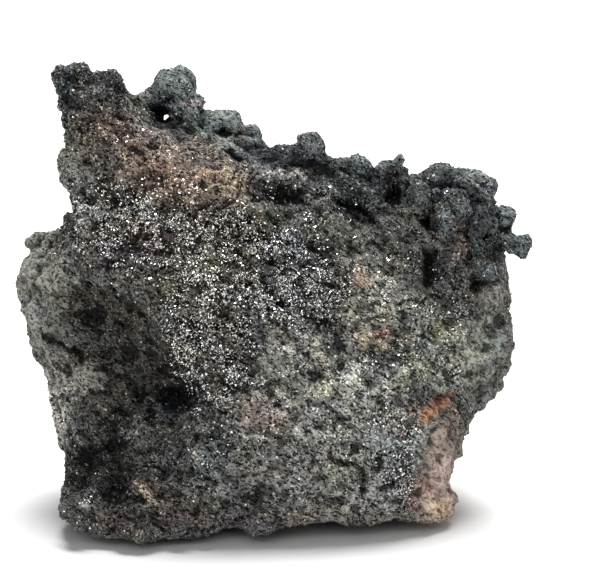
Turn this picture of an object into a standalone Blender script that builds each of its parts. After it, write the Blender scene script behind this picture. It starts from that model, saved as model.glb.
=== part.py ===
"""Volcanic rock: a fist-sized lump of scoria, broken in front and crusted with lava beads on top.

The broken face is laid out as an eye in front of the rock sees it: millimetres across and up on a
picture plane that leans back, and millimetres behind that plane along the line of sight. The
underside is laid out in the rock's own frame, x right, y back, z up.
"""

import math
import random

import bmesh
import bpy
import numpy as np
from mathutils import Matrix

# Driving dimensions, in millimetres and degrees
MM = 0.001
EYE_ABOVE_HORIZON = math.radians(12)
EYE_DISTANCE = 500
EYE_AIM = (5.4, 50.1)
FACE_REACH = 40
FRONT_EDGE = 10
UNDERSIDE = -0.3
MELT_VOXEL = 0.65
MELT_SMOOTHING = 2
TRIANGLES = 10050

# How finely the curves through the levels are stepped, and the shape of the unseen rear wall
RING_STEPS = 6
LEVEL_STEPS = 5
REAR_POINTS = 7
REAR_ROUNDNESS = 0.55

# Relief over the whole skin: size of a bump, height, seed. The rear wall's is this much stronger.
RELIEF = [(17.0, 1.3, 1), (7.5, 1.0, 2), (3.6, 0.8, 3)]
REAR_RELIEF = 1.7

# Level by level from the foot to the horn: how far up, how far behind the rear wall lies, and the
# broken face from its left edge to its right edge as (across, behind).
LEVELS = [
    (-3, 58, [(-37, 16), (-34, 8), (-29, 4), (-20, 4), (-10, 7), (2, 8), (14, 11), (24, 16), (29, 22)]),
    (2, 60, [(-40.6, 14), (-37, 5), (-30, 1.2), (-20, 2.5), (-10, 5), (2, 5.5),
             (14, 8), (26, 12), (34, 18)]),
    (6, 61, [(-42.4, 14), (-39, 6), (-31, 2.4), (-20, 2), (-9, 3.5), (3, 4),
             (15, 6), (28, 10), (36.8, 19)]),
    (14, 62, [(-40.4, 20), (-37, 12), (-30, 10), (-18, 4.5), (-10, 2.5), (3, 2.5),
              (15, 4), (27, 7.5), (35.8, 19)]),
    (22, 62, [(-42.4, 23), (-38, 15), (-29, 12), (-19, 7.5), (-10, 1.5), (3, 1.5),
              (16, 3), (29, 8), (39.2, 22)]),
    (30, 61, [(-44.8, 26), (-39, 16), (-29, 14.5), (-19.5, 13.5), (-12, 1.5), (3, 1.5),
              (18, 4), (33, 11.5), (44.6, 27)]),
    (38, 60, [(-47.2, 28), (-41, 18), (-30, 15.5), (-22, 9.5), (-15, 2), (3, 3),
              (18, 6), (34, 13.5), (47.0, 28)]),
    (46, 58, [(-49.6, 31), (-44, 20), (-33, 15.5), (-27, 8.5), (-16, 3.5), (2, 5),
              (18, 8), (34, 15.5), (47.6, 29)]),
    (52, 56, [(-50.6, 34), (-46, 22), (-37, 14.5), (-31, 9), (-17, 5.5), (2, 7),
              (18, 10), (34, 16.5), (47.2, 29)]),
    (57, 54, [(-48.8, 36), (-44, 23), (-38, 14.5), (-30, 10.5), (-17, 8), (2, 9.5),
              (18, 12.5), (34, 18), (46.0, 29)]),
    (61, 52, [(-46.2, 37), (-41, 24), (-37, 16), (-29, 12.5), (-16, 10.5), (2, 12),
              (18, 15), (34, 19), (45.2, 29)]),
    (64.5, 50, [(-39.0, 32), (-38.4, 24), (-36, 17.5), (-28, 14), (-15, 12.5), (2, 14),
                (18, 17), (34, 20), (44, 29)]),
    (70, 46, [(-40.2, 31), (-39.6, 24), (-36, 18.5), (-28, 16), (-15, 15), (0, 16),
              (15, 19), (28, 21), (40.4, 28)]),
    (74, 43, [(-42.8, 31), (-42.2, 25.5), (-38, 20), (-30, 18), (-19, 17), (-8, 18),
              (3, 19.5), (12, 22), (20, 28)]),
    (77, 41, [(-42.4, 31), (-41.8, 26), (-38, 20.5), (-31, 19), (-22, 18.5), (-13, 19.5),
              (-5, 21), (3, 24), (8, 29)]),
    (80, 40, [(-41.6, 32), (-41, 26), (-37.5, 21), (-32, 19.5), (-26, 19.5), (-21, 20),
              (-17.5, 22), (-15.5, 26), (-14.5, 31)]),
    (85, 37, [(-41.4, 31), (-41, 26.5), (-38, 22), (-35, 21), (-31.5, 21), (-28.5, 21.5),
              (-26, 23), (-24.8, 26), (-24, 30)]),
    (89, 34, [(-42.2, 29.5), (-41.8, 25.5), (-39.5, 22.5), (-37, 22), (-34.5, 22), (-32, 22.5),
              (-30, 24), (-29, 25.5), (-28.8, 28)]),
    (92, 31, [(-43, 28), (-42.4, 25.5), (-40.5, 24), (-38.5, 23), (-36.5, 23), (-34.5, 23),
              (-32.8, 24), (-31.4, 25.5), (-31, 27)]),
]

# Lava beads that show against the sky or on the broken face: (across, up, behind), radius
BEADS = [
    # tips of the horn
    ((-43, 92.6, 25), 1.4), ((-42, 93.6, 25), 1.6), ((-40.2, 93.8, 25), 1.9), ((-38.2, 93.8, 25), 1.8),
    ((-42.4, 90.2, 25), 1.4), ((-41.4, 88.6, 26), 1.6), ((-34.6, 92.2, 25), 1.6),
    ((-32.8, 91.8, 25), 1.6), ((-31.2, 91.8, 25), 1.6), ((-30.8, 90.4, 26), 1.4),
    ((-41.8, 87.4, 26), 1.4),
    # tower, and the arm that joins it to the horn
    ((-19.2, 91, 31), 3.8), ((-20.3, 90.7, 31), 3.9), ((-22.2, 90, 31), 2.4),
    ((-23.8, 89.4, 31), 1.6), ((-25.2, 88.4, 30), 1.3), ((-16.6, 87, 31), 2.4),
    ((-16.6, 84.6, 30), 2.6), ((-17.2, 82, 29), 2.4), ((-19, 86.6, 30), 2.4), ((-18.2, 83.4, 31), 1.9),
    ((-18.2, 86.2, 35), 3.2), ((-25.6, 86.4, 37), 2.8), ((-22.9, 86.6, 37), 2.3),
    ((-25.4, 83.4, 36.5), 2.4), ((-16, 81, 36), 4.2), ((-10, 79.4, 36), 5), ((-5.2, 77.2, 34), 4.4),
    # crust between the tower and the saddle
    ((-13, 84, 31), 2), ((-11.8, 82, 30), 2.2), ((-9.4, 83.6, 31), 2.2), ((-8.2, 82.4, 31), 2),
    ((-6.6, 81, 31), 2), ((-3.8, 81.8, 31), 1.9), ((-6, 78.4, 27), 1.8), ((-7.8, 77.8, 27), 1.4),
    ((-9, 80, 30), 2), ((-11.6, 79, 29), 2.2), ((-14.6, 80, 28), 2), ((-3.6, 78.8, 29), 2),
    ((-2.2, 76.2, 27), 1.6),
    # crest
    ((1.8, 76.8, 22), 2.2), ((4.2, 77, 22), 2.2), ((7.6, 79.2, 22), 2.5), ((5.8, 76.4, 22), 2.2),
    ((9.4, 76.8, 22), 1.7), ((11.8, 75.4, 22), 1.8), ((14.2, 75.2, 22), 1.8), ((16.8, 75.2, 22), 3),
    ((18.8, 73.8, 22), 1.8), ((22.6, 74.4, 21), 1.6), ((24.4, 75.6, 21), 1.8), ((26.4, 71.2, 20), 1.8),
    ((26, 72.8, 21), 1.3), ((28.4, 72.4, 22), 1.4), ((24.4, 70.2, 28), 2.6),
    # nodules in front of the cluster at the right
    ((29, 69.4, 15.5), 2.5), ((29.2, 68, 15.5), 2.2), ((32.4, 68.8, 17), 1.4),
    ((36.4, 68.4, 15.5), 2.6), ((36.8, 66.4, 15.5), 2.3), ((35, 66.8, 15.5), 1.8),
    ((34.4, 63.6, 15), 1.8), ((34.2, 62, 15.5), 1.4),
    # cluster at the right
    ((32.6, 72.6, 24), 2.4), ((34.6, 73.2, 25), 2.8), ((37.2, 72.2, 25), 2.8), ((39.4, 72, 25), 2.9),
    ((41.6, 71, 25), 2.4), ((42.6, 70.6, 24), 1.6), ((41, 68.8, 22), 2), ((38.4, 70.2, 20), 2.2),
    ((42.2, 67.2, 24), 1.8), ((44, 63.4, 25), 2), ((41.2, 65.2, 21), 2.2), ((46.4, 65.2, 26), 1.9),
    ((46.6, 63.4, 26), 1.6), ((43.4, 61, 24), 1.8), ((40.8, 62.2, 20), 1.6), ((42.8, 58.2, 24), 1.8),
    ((40.6, 58.8, 20), 1.4), ((43.2, 54, 22), 2), ((41, 55.8, 20), 1.4),
    # finger that points right
    ((46.2, 60.2, 26), 2), ((47.6, 59.4, 26), 2.4), ((49, 59, 26), 2.1), ((50, 59.8, 26), 1.6),
    ((49.2, 58, 26), 1.5),
    # crust hanging below the nodules
    ((33.4, 59, 18), 1.4), ((34.6, 57, 18), 1.5), ((34.6, 53.2, 18), 1.3),
    # left shoulder
    ((-40.4, 63.8, 33), 2.2), ((-45.4, 59.6, 37), 2.4), ((-47.4, 59.4, 38), 2.2),
    ((-48.4, 55.8, 38), 2), ((-49.6, 52.2, 38), 1.8),
    # under the front edge
    ((-26.4, 2, 0.5), 2.6), ((-2.4, 3.4, 5), 3), ((-8.4, 4.6, 5), 1.8), ((-38.8, 5, 6), 3.2),
    ((-24.2, 1.4, 1), 1.6), ((-29.8, 2.6, 1), 1.8), ((-4.6, 2.6, 5), 1.6), ((-13.6, 4.2, 3), 1.8),
    ((-18.6, 3, 2), 1.6),
]

# Hollows (height below zero) and swellings of the broken face: (across, up), reach, height
FACE_FEATURES = [
    # the recess on the left, and the ridge that overhangs it
    ((-18.6, 28.8), 4.4, -5.0), ((-26.6, 29.2), 2.6, -2.5), ((-29.8, 43.2), 1.9, -2.2),
    ((-37.0, 45.2), 3.0, -2.4),
    ((-31.6, 9.2), 4.0, -3.5), ((-37.6, 15.2), 4.2, -2.2), ((-32.6, 19.2), 3.5, -2.0),
    ((-28.0, 36.0), 5.0, -1.6),
    ((-23.6, 44.2), 3.0, 1.3), ((-17.6, 37.2), 3.0, 1.3), ((-13.6, 30.2), 3.0, 1.3),
    ((-36.0, 22.4), 3.4, 1.3),
    # under the crest: two sheltered hollows, and the gaps between the nodules
    ((1.4, 70.6), 3.2, -3.5), ((1.4, 73.8), 2.6, 1.5), ((17.0, 65.6), 2.6, -3.2), ((19.8, 63.8), 2.0, -3.0),
    ((14.4, 67.2), 2.2, -2.0), ((23.6, 69.0), 1.8, -4.5), ((31.4, 63.6), 1.6, -3.5),
    ((31.0, 56.0), 2.2, -2.8),
    ((31.4, 52.2), 1.8, -2.5), ((40.8, 51.4), 2.2, -2.2), ((-10.0, 82.0), 1.5, -2.2),
    ((-23.0, 85.2), 2.2, -4.0),
    # pits and lumps of the grey face
    ((12.8, 39.2), 1.6, -2.2), ((13.8, 35.2), 1.8, -2.0), ((9.4, 43.8), 3.0, -1.4),
    ((8.4, 33.2), 2.0, -1.3),
    ((13.4, 16.2), 2.5, -1.6), ((18.0, 12.2), 1.7, -2.0), ((20.6, 16.2), 1.6, -1.6),
    ((-4.6, 8.2), 5.0, -1.2),
    ((-15.6, 17.2), 2.6, 1.2), ((42.4, 48.2), 3.0, 1.2), ((4.0, 38.0), 5.0, 1.0), ((20.0, 24.0), 5.0, 1.0),
    ((13.0, 69.0), 3.2, 1.4), ((0.0, 58.0), 4.0, -0.9),
]

# Arches under the rock, between its feet: (x, y), reach, height
ARCHES = [
    ((-45.0, 7.0), 5.0, 3.4), ((-8.5, 5.0), 3.0, 2.4), ((9.0, 7.5), 6.5, 2.2), ((24.5, 12.0), 5.5, 1.5),
    ((14.0, 26.0), 10.0, 2.4), ((-20.0, 26.0), 9.0, 2.2), ((-4.0, 46.0), 10.0, 2.2),
    ((30.0, 42.0), 8.0, 2.0),
]

# The rock stands on its rear part. Its front edge hangs this far over the floor, and the base starts
# behind this line of (x, y), over a slope this long. The base reaches this high up, and it is pressed
# a little way into the floor, so that it stands on flat patches
OVERHANG = 2.4
BASE_LINE = [
    (-45, 24), (-38, 18), (-28, 14), (-14, 15), (-4, 19), (2, 26), (10, 31), (22, 33), (34, 36), (45, 40),
]
BASE_SLOPE = 5.0
BASE_PRESSED_IN = 0.5
BASE_HEIGHT = 7.0

# How rough the underside is behind its front edge: size of a bump, height, seed
UNDERSIDE_RELIEF = (11.0, 3.0, 5)

# Crust behind the crest: for each kind of bead how many, their radii, how deep they sink as a share
# of the radius, and which shares of the levels and of the way round the rear they lie on.
CRUST_SEED = 11
CRUST_SETTLING = 0.7
CRUST = [
    (80, (3.2, 7.5), 0.62, (0.2, 0.98), (0.1, 1.0)),
    (150, (1.3, 2.6), 0.25, (0.2, 0.98), (0.1, 1.0)),
    (110, (1.6, 3.8), 0.5, (0.62, 0.92), (0.0, 0.3)),
]

# How high the rock reaches as the eye sees it: (across, up) along the crest from the horn
CREST = [
    (-43, 90), (-30, 90), (-28, 87), (-15, 88), (-12, 85), (-8, 85), (-4, 82.5), (-1, 77), (3, 79),
    (8, 81), (12, 77), (17, 77.5), (21, 74.5), (24, 76), (28, 73.5), (34, 75), (40, 75), (43, 72),
    (46, 66), (48, 58),
]
CREST_BEGINS = 64.5


def seen(across, up, behind):
    """Points on the eye's lines of sight through (across, up), this far behind the picture plane, in mm."""
    spread = 1 + behind / EYE_DISTANCE
    x = EYE_AIM[0] + (across - EYE_AIM[0]) * spread
    rise = EYE_AIM[1] + (up - EYE_AIM[1]) * spread
    sine, cosine = math.sin(EYE_ABOVE_HORIZON), math.cos(EYE_ABOVE_HORIZON)
    return np.stack([x, behind * cosine + rise * sine, rise * cosine - behind * sine], axis=-1)


def picture_of(points):
    """The reverse of seen: across, up and behind of points in mm."""
    sine, cosine = math.sin(EYE_ABOVE_HORIZON), math.cos(EYE_ABOVE_HORIZON)
    behind = points[:, 1] * cosine - points[:, 2] * sine
    rise = points[:, 1] * sine + points[:, 2] * cosine
    spread = 1 + behind / EYE_DISTANCE
    across = EYE_AIM[0] + (points[:, 0] - EYE_AIM[0]) / spread
    return across, EYE_AIM[1] + (rise - EYE_AIM[1]) / spread, behind


def lattice_slopes(cells, seed):
    """A fixed pseudo-random slope for each whole-number cell corner."""
    mixed = cells[:, 0] * 73856093 ^ cells[:, 1] * 19349663 ^ cells[:, 2] * 83492791 ^ seed * 2654435761
    slopes = []
    for _ in range(3):
        mixed = (mixed ^ (mixed >> 13)) * 1274126177 & 0xFFFFFFFF
        slopes.append(mixed / 0x7FFFFFFF - 1)
    return np.stack(slopes, axis=-1)


def swell(points, size, seed):
    """Smooth noise between about -1 and 1 whose bumps are this far apart."""
    place = points / size
    cell = np.floor(place).astype(np.int64)
    part = place - cell
    ease = part**3 * (part * (part * 6 - 15) + 10)
    total = np.zeros(len(points))
    for corner in np.ndindex(2, 2, 2):
        slope = lattice_slopes(cell + corner, seed)
        share = np.prod(np.where(corner, ease, 1 - ease), axis=1)
        total += share * ((part - corner) * slope).sum(axis=1)
    return total * 1.6


def ring_of(up, rear, face):
    """A level's corners, left to right along the broken face and back again round the rear wall."""
    across, behind = np.array(face, float).T
    along = np.linspace(0, 1, REAR_POINTS + 2)[1:-1]
    edge = behind[-1] + (behind[0] - behind[-1]) * along
    bulge = np.sin(math.pi * along) ** REAR_ROUNDNESS
    rear_across = across[-1] + (across[0] - across[-1]) * (along - 0.06 * np.sin(2 * math.pi * along))
    return seen(
        np.concatenate([across, rear_across]),
        np.full(len(across) + REAR_POINTS, float(up)),
        np.concatenate([behind, edge + (rear - edge) * bulge]),
    )


def smooth_through(points, steps, closed):
    """Catmull-Rom curves through rows of points: each gap between neighbours gets this many steps."""
    count = len(points)
    gaps = np.arange(count if closed else count - 1)
    neighbours = gaps[:, None] + np.array([-1, 0, 1, 2])
    neighbours = neighbours % count if closed else np.clip(neighbours, 0, count - 1)
    before, start, end, after = (points[neighbours[:, k]][:, None] for k in range(4))
    t = np.linspace(0, 1, steps, endpoint=False).reshape(1, steps, *[1] * (points.ndim - 1))
    curve = 0.5 * (
        2 * start
        + (end - before) * t
        + (2 * before - 5 * start + 4 * end - after) * t**2
        + (3 * start - before - 3 * end + after) * t**3
    )
    curve = curve.reshape(-1, *points.shape[1:])
    return curve if closed else np.concatenate([curve, points[-1:]])


def body_rings():
    rings = np.stack([ring_of(*level) for level in LEVELS])
    rings = smooth_through(rings, LEVEL_STEPS, closed=False)
    return smooth_through(rings.swapaxes(0, 1), RING_STEPS, closed=True).swapaxes(0, 1)


def add_body(bm, rings):
    """The lump itself: its rings joined into a skin, closed at the top and cut off level underneath."""
    rows = [[bm.verts.new(point * MM) for point in ring] for ring in rings]
    around = len(rows[0])
    for lower, upper in zip(rows, rows[1:]):
        for k in range(around):
            bm.faces.new((lower[k], lower[(k + 1) % around], upper[(k + 1) % around], upper[k]))
    bm.faces.new(rows[-1])
    cut = bmesh.ops.bisect_plane(
        bm,
        geom=bm.verts[:] + bm.edges[:] + bm.faces[:],
        plane_co=(0, 0, UNDERSIDE * MM),
        plane_no=(0, 0, -1),
        clear_outer=True,
    )
    rim = [e for e in cut["geom_cut"] if isinstance(e, bmesh.types.BMEdge)]
    bmesh.ops.contextual_create(bm, geom=rim)


def add_bead(bm, centre, radius):
    place = Matrix.Translation(centre * MM)
    bmesh.ops.create_icosphere(bm, subdivisions=2, radius=radius * MM, matrix=place)


def within_outline(across, up, radius):
    """Whether a bead of this radius hides behind the rock's outline, as the eye sees it."""
    ups = [level[0] for level in LEVELS]
    lefts = [level[2][0][0] for level in LEVELS]
    rights = [level[2][-1][0] for level in LEVELS]
    for height in (up - radius, up, up + radius):
        if across - radius < np.interp(height, ups, lefts):
            return False
        if height < CREST_BEGINS and across + radius > np.interp(height, ups, rights):
            return False
    sides = np.array([across - radius / 2, across, across + radius / 2])
    return bool((up + radius < np.interp(sides, *np.transpose(CREST))).all())


def add_crust(bm, rings):
    """Lobes and beads scattered over the rear wall, each sunk towards the middle of its level."""
    scatter = random.Random(CRUST_SEED)
    rear = rings[:, len(rings[0]) // 2 :]
    for count, radii, sink, levels, places in CRUST:
        for _ in range(count):
            radius = scatter.uniform(*radii)
            level = int(len(rings) * scatter.uniform(*levels))
            edge = rear[level][int((len(rear[0]) - 1) * scatter.uniform(*places))]
            inward = rings[level].mean(axis=0) - edge
            inward = inward / np.linalg.norm(inward) - [0, 0, CRUST_SETTLING]
            place = edge + inward / np.linalg.norm(inward) * radius * sink
            across, up, _behind = picture_of(place[None])
            if within_outline(across[0], up[0], radius):
                add_bead(bm, place, radius)


def clear_scene():
    for obj in list(bpy.data.objects):
        bpy.data.objects.remove(obj)


def applied(obj):
    bpy.context.view_layer.update()
    graph = bpy.context.evaluated_depsgraph_get()
    mesh = bpy.data.meshes.new_from_object(obj.evaluated_get(graph))
    obj.modifiers.clear()
    obj.data = mesh


def melted(obj):
    """The object's shapes run together into one skin."""
    remesh = obj.modifiers.new("melt", "REMESH")
    remesh.mode = "VOXEL"
    remesh.voxel_size = MELT_VOXEL * MM
    smooth = obj.modifiers.new("soften", "SMOOTH")
    smooth.iterations = MELT_SMOOTHING
    smooth.factor = 0.5
    applied(obj)


def points_of(mesh, what="co"):
    values = np.empty(len(mesh.vertices) * 3, np.float32)
    mesh.vertices.foreach_get(what, values)
    return values.reshape(-1, 3).astype(float)


def sculpted(mesh):
    """Presses the hollows in, lifts the arches, roughens the whole skin and lets the base down."""
    points = points_of(mesh) / MM
    across, up, behind = picture_of(points)
    towards_eye = np.array([0, -math.cos(EYE_ABOVE_HORIZON), math.sin(EYE_ABOVE_HORIZON)])
    in_front = np.clip((FACE_REACH - behind) / 8, 0, 1)
    height = np.zeros(len(points))
    for (at_across, at_up), reach, rise in FACE_FEATURES:
        distance = np.hypot(across - at_across, up - at_up) / reach
        height += rise * np.exp(-(distance**2))
    points += towards_eye * (height * in_front)[:, None]
    for (x, y), reach, rise in ARCHES:
        distance = np.hypot(points[:, 0] - x, points[:, 1] - y) / reach
        points[:, 2] += rise * np.exp(-(distance**2)) * np.clip(1 - points[:, 2] / 8, 0, 1)
    size, rise, seed = UNDERSIDE_RELIEF
    under = np.clip(1 - points[:, 2] / 6, 0, 1) * np.clip((points[:, 1] - FRONT_EDGE) / 8, 0, 1)
    points[:, 2] += rise * np.maximum(swell(points * [1, 1, 0], size, seed), 0) * under
    normals = points_of(mesh, "normal")
    relief = sum(rise * swell(points, size, seed) for size, rise, seed in RELIEF)
    relief *= 1 + (REAR_RELIEF - 1) * (1 - in_front)
    relief *= np.clip(points[:, 2] / 8, 0.3, 1)
    points += normals * relief[:, None]
    start = np.interp(points[:, 0], *np.transpose(BASE_LINE))
    base = np.clip((points[:, 1] - start) / BASE_SLOPE, 0, 1) * np.clip(1 - points[:, 2] / BASE_HEIGHT, 0, 1)
    points[:, 2] -= (OVERHANG + BASE_PRESSED_IN) * base
    mesh.vertices.foreach_set("co", (points * MM).astype(np.float32).ravel())
    mesh.update()


def thinned(obj, triangles):
    obj.data.calc_loop_triangles()
    decimate = obj.modifiers.new("thin", "DECIMATE")
    decimate.ratio = triangles / len(obj.data.loop_triangles)
    applied(obj)


def stood(mesh):
    """Lifts the front edge over the floor, flattens what is below the floor, and centres the rock."""
    places = points_of(mesh)
    places[:, 2] = np.maximum(places[:, 2] + OVERHANG * MM, 0)
    middle = (places.min(axis=0) + places.max(axis=0)) / 2
    print("centre of the rock's box before centring, mm:", (middle / MM).round(2))
    places[:, :2] -= middle[:2]
    mesh.vertices.foreach_set("co", places.astype(np.float32).ravel())
    mesh.update()


def basalt():
    material = bpy.data.materials.new("basalt")
    material.use_nodes = True
    shader = material.node_tree.nodes["Principled BSDF"]
    shader.inputs["Base Color"].default_value = (0.105, 0.103, 0.096, 1)
    shader.inputs["Roughness"].default_value = 0.9
    shader.inputs["Metallic"].default_value = 0
    return material


def main():
    clear_scene()
    bm = bmesh.new()
    rings = body_rings()
    add_body(bm, rings)
    for place, radius in BEADS:
        add_bead(bm, seen(*place), radius)
    add_crust(bm, rings)
    mesh = bpy.data.meshes.new("rock")
    bm.to_mesh(mesh)
    bm.free()
    rock = bpy.data.objects.new("rock", mesh)
    bpy.context.scene.collection.objects.link(rock)
    melted(rock)
    sculpted(rock.data)
    thinned(rock, TRIANGLES)
    stood(rock.data)
    rock.data.materials.append(basalt())


main()
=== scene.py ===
# Volcanic rock: the fine surface of the broken, glittering lump of scoria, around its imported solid.
import math
import random

import bmesh
import bpy
import numpy as np
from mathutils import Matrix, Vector


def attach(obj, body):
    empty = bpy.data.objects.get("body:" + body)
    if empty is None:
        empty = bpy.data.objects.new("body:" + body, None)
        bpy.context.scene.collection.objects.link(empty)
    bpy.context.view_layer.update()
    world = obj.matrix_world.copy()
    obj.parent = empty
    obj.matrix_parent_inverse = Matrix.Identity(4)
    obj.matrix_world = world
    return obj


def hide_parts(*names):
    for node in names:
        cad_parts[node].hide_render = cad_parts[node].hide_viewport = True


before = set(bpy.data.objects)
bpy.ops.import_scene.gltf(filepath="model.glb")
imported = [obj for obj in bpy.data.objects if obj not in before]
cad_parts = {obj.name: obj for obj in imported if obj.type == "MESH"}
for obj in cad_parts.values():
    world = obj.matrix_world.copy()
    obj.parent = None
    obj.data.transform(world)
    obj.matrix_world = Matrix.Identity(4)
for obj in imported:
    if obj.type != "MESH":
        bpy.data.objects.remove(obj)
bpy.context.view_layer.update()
print("frame loaded")

mm = 0.001

# The broken face is laid out as an eye in front of the rock sees it: millimetres across and up on a
# picture plane that leans back, and millimetres behind it along the line of sight.
layout = {
    "lean": math.radians(12),  # how far above the horizon the eye is
    "eyeDistance": 500,
    "eyeAim": (5.4, 50.1),
    "rockCentre": (-0.45, 34.2),  # the rock's own origin, in the layout's x and y
    "floorBelow": 2.4,  # how far the floor lies below the layout's zero: the front edge overhangs it
}
leanSine, leanCosine = math.sin(layout["lean"]), math.cos(layout["lean"])
towardsEye = np.array([0, -leanCosine, leanSine])


def seen(across, up, behind):
    # a point on the eye's line of sight through (across, up): the plane's point spreads with distance
    spread = 1 + behind / layout["eyeDistance"]
    aimAcross, aimUp = layout["eyeAim"]
    x = aimAcross + (across - aimAcross) * spread
    rise = aimUp + (up - aimUp) * spread
    y = behind * leanCosine + rise * leanSine
    z = rise * leanCosine - behind * leanSine
    return np.stack([x, y, z], axis=-1)


def pictureOf(points):
    # the reverse of seen: turn back by the eye's lean, then divide by the spread
    behind = points[:, 1] * leanCosine - points[:, 2] * leanSine
    rise = points[:, 1] * leanSine + points[:, 2] * leanCosine
    spread = 1 + behind / layout["eyeDistance"]
    aimAcross, aimUp = layout["eyeAim"]
    return aimAcross + (points[:, 0] - aimAcross) / spread, aimUp + (rise - aimUp) / spread, behind


def toMetres(points):
    return (points - [*layout["rockCentre"], -layout["floorBelow"]]) * mm


def cellHash(cells, seed, count=3):
    # whole-number cells to fixed pseudo-random numbers from -1 to 1, by large primes and shifted bits
    mixed = cells[:, 0] * 73856093 ^ cells[:, 1] * 19349663 ^ cells[:, 2] * 83492791 ^ seed * 2654435761
    values = []
    for _ in range(count):
        mixed = (mixed ^ (mixed >> 13)) * 1274126177 & 0xFFFFFFFF
        values.append(mixed / 0x7FFFFFFF - 1)
    return np.stack(values, axis=-1)


def swell(points, size, seed):
    # gradient noise, roughly from -1 to 1: each cell corner has a slope, and the eight slopes are eased
    # into each other by 6t^5 - 15t^4 + 10t^3
    place = points / size
    cell = np.floor(place).astype(np.int64)
    part = place - cell
    ease = part**3 * (part * (part * 6 - 15) + 10)
    total = np.zeros(len(points))
    for corner in np.ndindex(2, 2, 2):
        slope = cellHash(cell + corner, seed)
        share = np.prod(np.where(corner, ease, 1 - ease), axis=1)
        total += share * ((part - corner) * slope).sum(axis=1)
    return total * 1.6


def swells(points, layers, seed=0, base=0):
    # the sum of several swells, each given by its height, size and seed
    return sum((rise * swell(points, size, seed + own) for rise, size, own in layers), base)


def drift(points, size, seed):
    # a swell along each of the three axes
    return np.stack([swell(points, size, seed + k) for k in range(3)], axis=-1)


def nearestSeed(points, size, seed):
    # cell noise: the distance to the nearest of the points strewn one to a cell, in cells,
    # and a fixed random number from 0 to 1 of that point
    place = points / size
    cell = np.floor(place).astype(np.int64)
    nearest = np.full(len(points), np.inf)
    chance = np.zeros(len(points))
    for corner in np.ndindex(3, 3, 3):
        near = cell + np.array(corner) - 1
        drawn = cellHash(near, seed, 4)
        distance = np.linalg.norm(near + 0.5 + drawn[:, :3] * 0.45 - place, axis=1)
        closer = distance < nearest
        nearest = np.where(closer, distance, nearest)
        chance = np.where(closer, drawn[:, 3] * 0.5 + 0.5, chance)
    return nearest, chance


def fadeOut(values, end, width, least=0):
    # 1, then over the last stretch of this width falling to the least at the end
    return np.clip((end - values) / width, least, 1)


def nearFloor(points, reach):
    # 1 at the layout's zero and below it, falling to 0 at this height
    return np.clip(1 - points[:, 2] / reach, 0, 1)


def smoothThrough(points, steps, closed):
    # Catmull-Rom curves through rows of points, each gap cut into this many steps
    count = len(points)
    gaps = np.arange(count if closed else count - 1)
    around = gaps[:, None] + np.array([-1, 0, 1, 2])
    around = around % count if closed else np.clip(around, 0, count - 1)
    before, start, end, after = (points[around[:, k]][:, None] for k in range(4))
    t = np.linspace(0, 1, steps, endpoint=False).reshape(1, steps, *[1] * (points.ndim - 1))
    curve = 0.5 * (
        2 * start
        + (end - before) * t
        + (2 * before - 5 * start + 4 * end - after) * t**2
        + (3 * start - before - 3 * end + after) * t**3
    )
    curve = curve.reshape(-1, *points.shape[1:])
    return curve if closed else np.concatenate([curve, points[-1:]])


def meshFrom(name, points, faces):
    # points as an array, faces as an array of triangles or of quads
    mesh = bpy.data.meshes.new(name)
    mesh.vertices.add(len(points))
    mesh.vertices.foreach_set("co", np.ascontiguousarray(points, np.float32).ravel())
    mesh.loops.add(faces.size)
    mesh.loops.foreach_set("vertex_index", np.ascontiguousarray(faces, np.int32).ravel())
    mesh.polygons.add(len(faces))
    mesh.polygons.foreach_set("loop_start", np.arange(len(faces), dtype=np.int32) * faces.shape[1])
    mesh.update(calc_edges=True)
    mesh.shade_flat()
    return mesh


def addObject(name, content):
    thing = bpy.data.objects.new(name, content)
    bpy.context.scene.collection.objects.link(thing)
    return thing


def readPoints(mesh, what="co"):
    values = np.empty(len(mesh.vertices) * 3, np.float32)
    mesh.vertices.foreach_get(what, values)
    return values.reshape(-1, 3).astype(float)


def readTriangles(mesh):
    faces = np.empty(len(mesh.polygons) * 3, np.int32)
    mesh.polygons.foreach_get("vertices", faces)
    return faces.reshape(-1, 3)


def writePoints(mesh, points):
    mesh.vertices.foreach_set("co", points.astype(np.float32).ravel())
    mesh.update()


def bakeModifiers(piece):
    bpy.context.view_layer.update()
    graph = bpy.context.evaluated_depsgraph_get()
    mesh = bpy.data.meshes.new_from_object(piece.evaluated_get(graph))
    piece.modifiers.clear()
    piece.data = mesh


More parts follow.
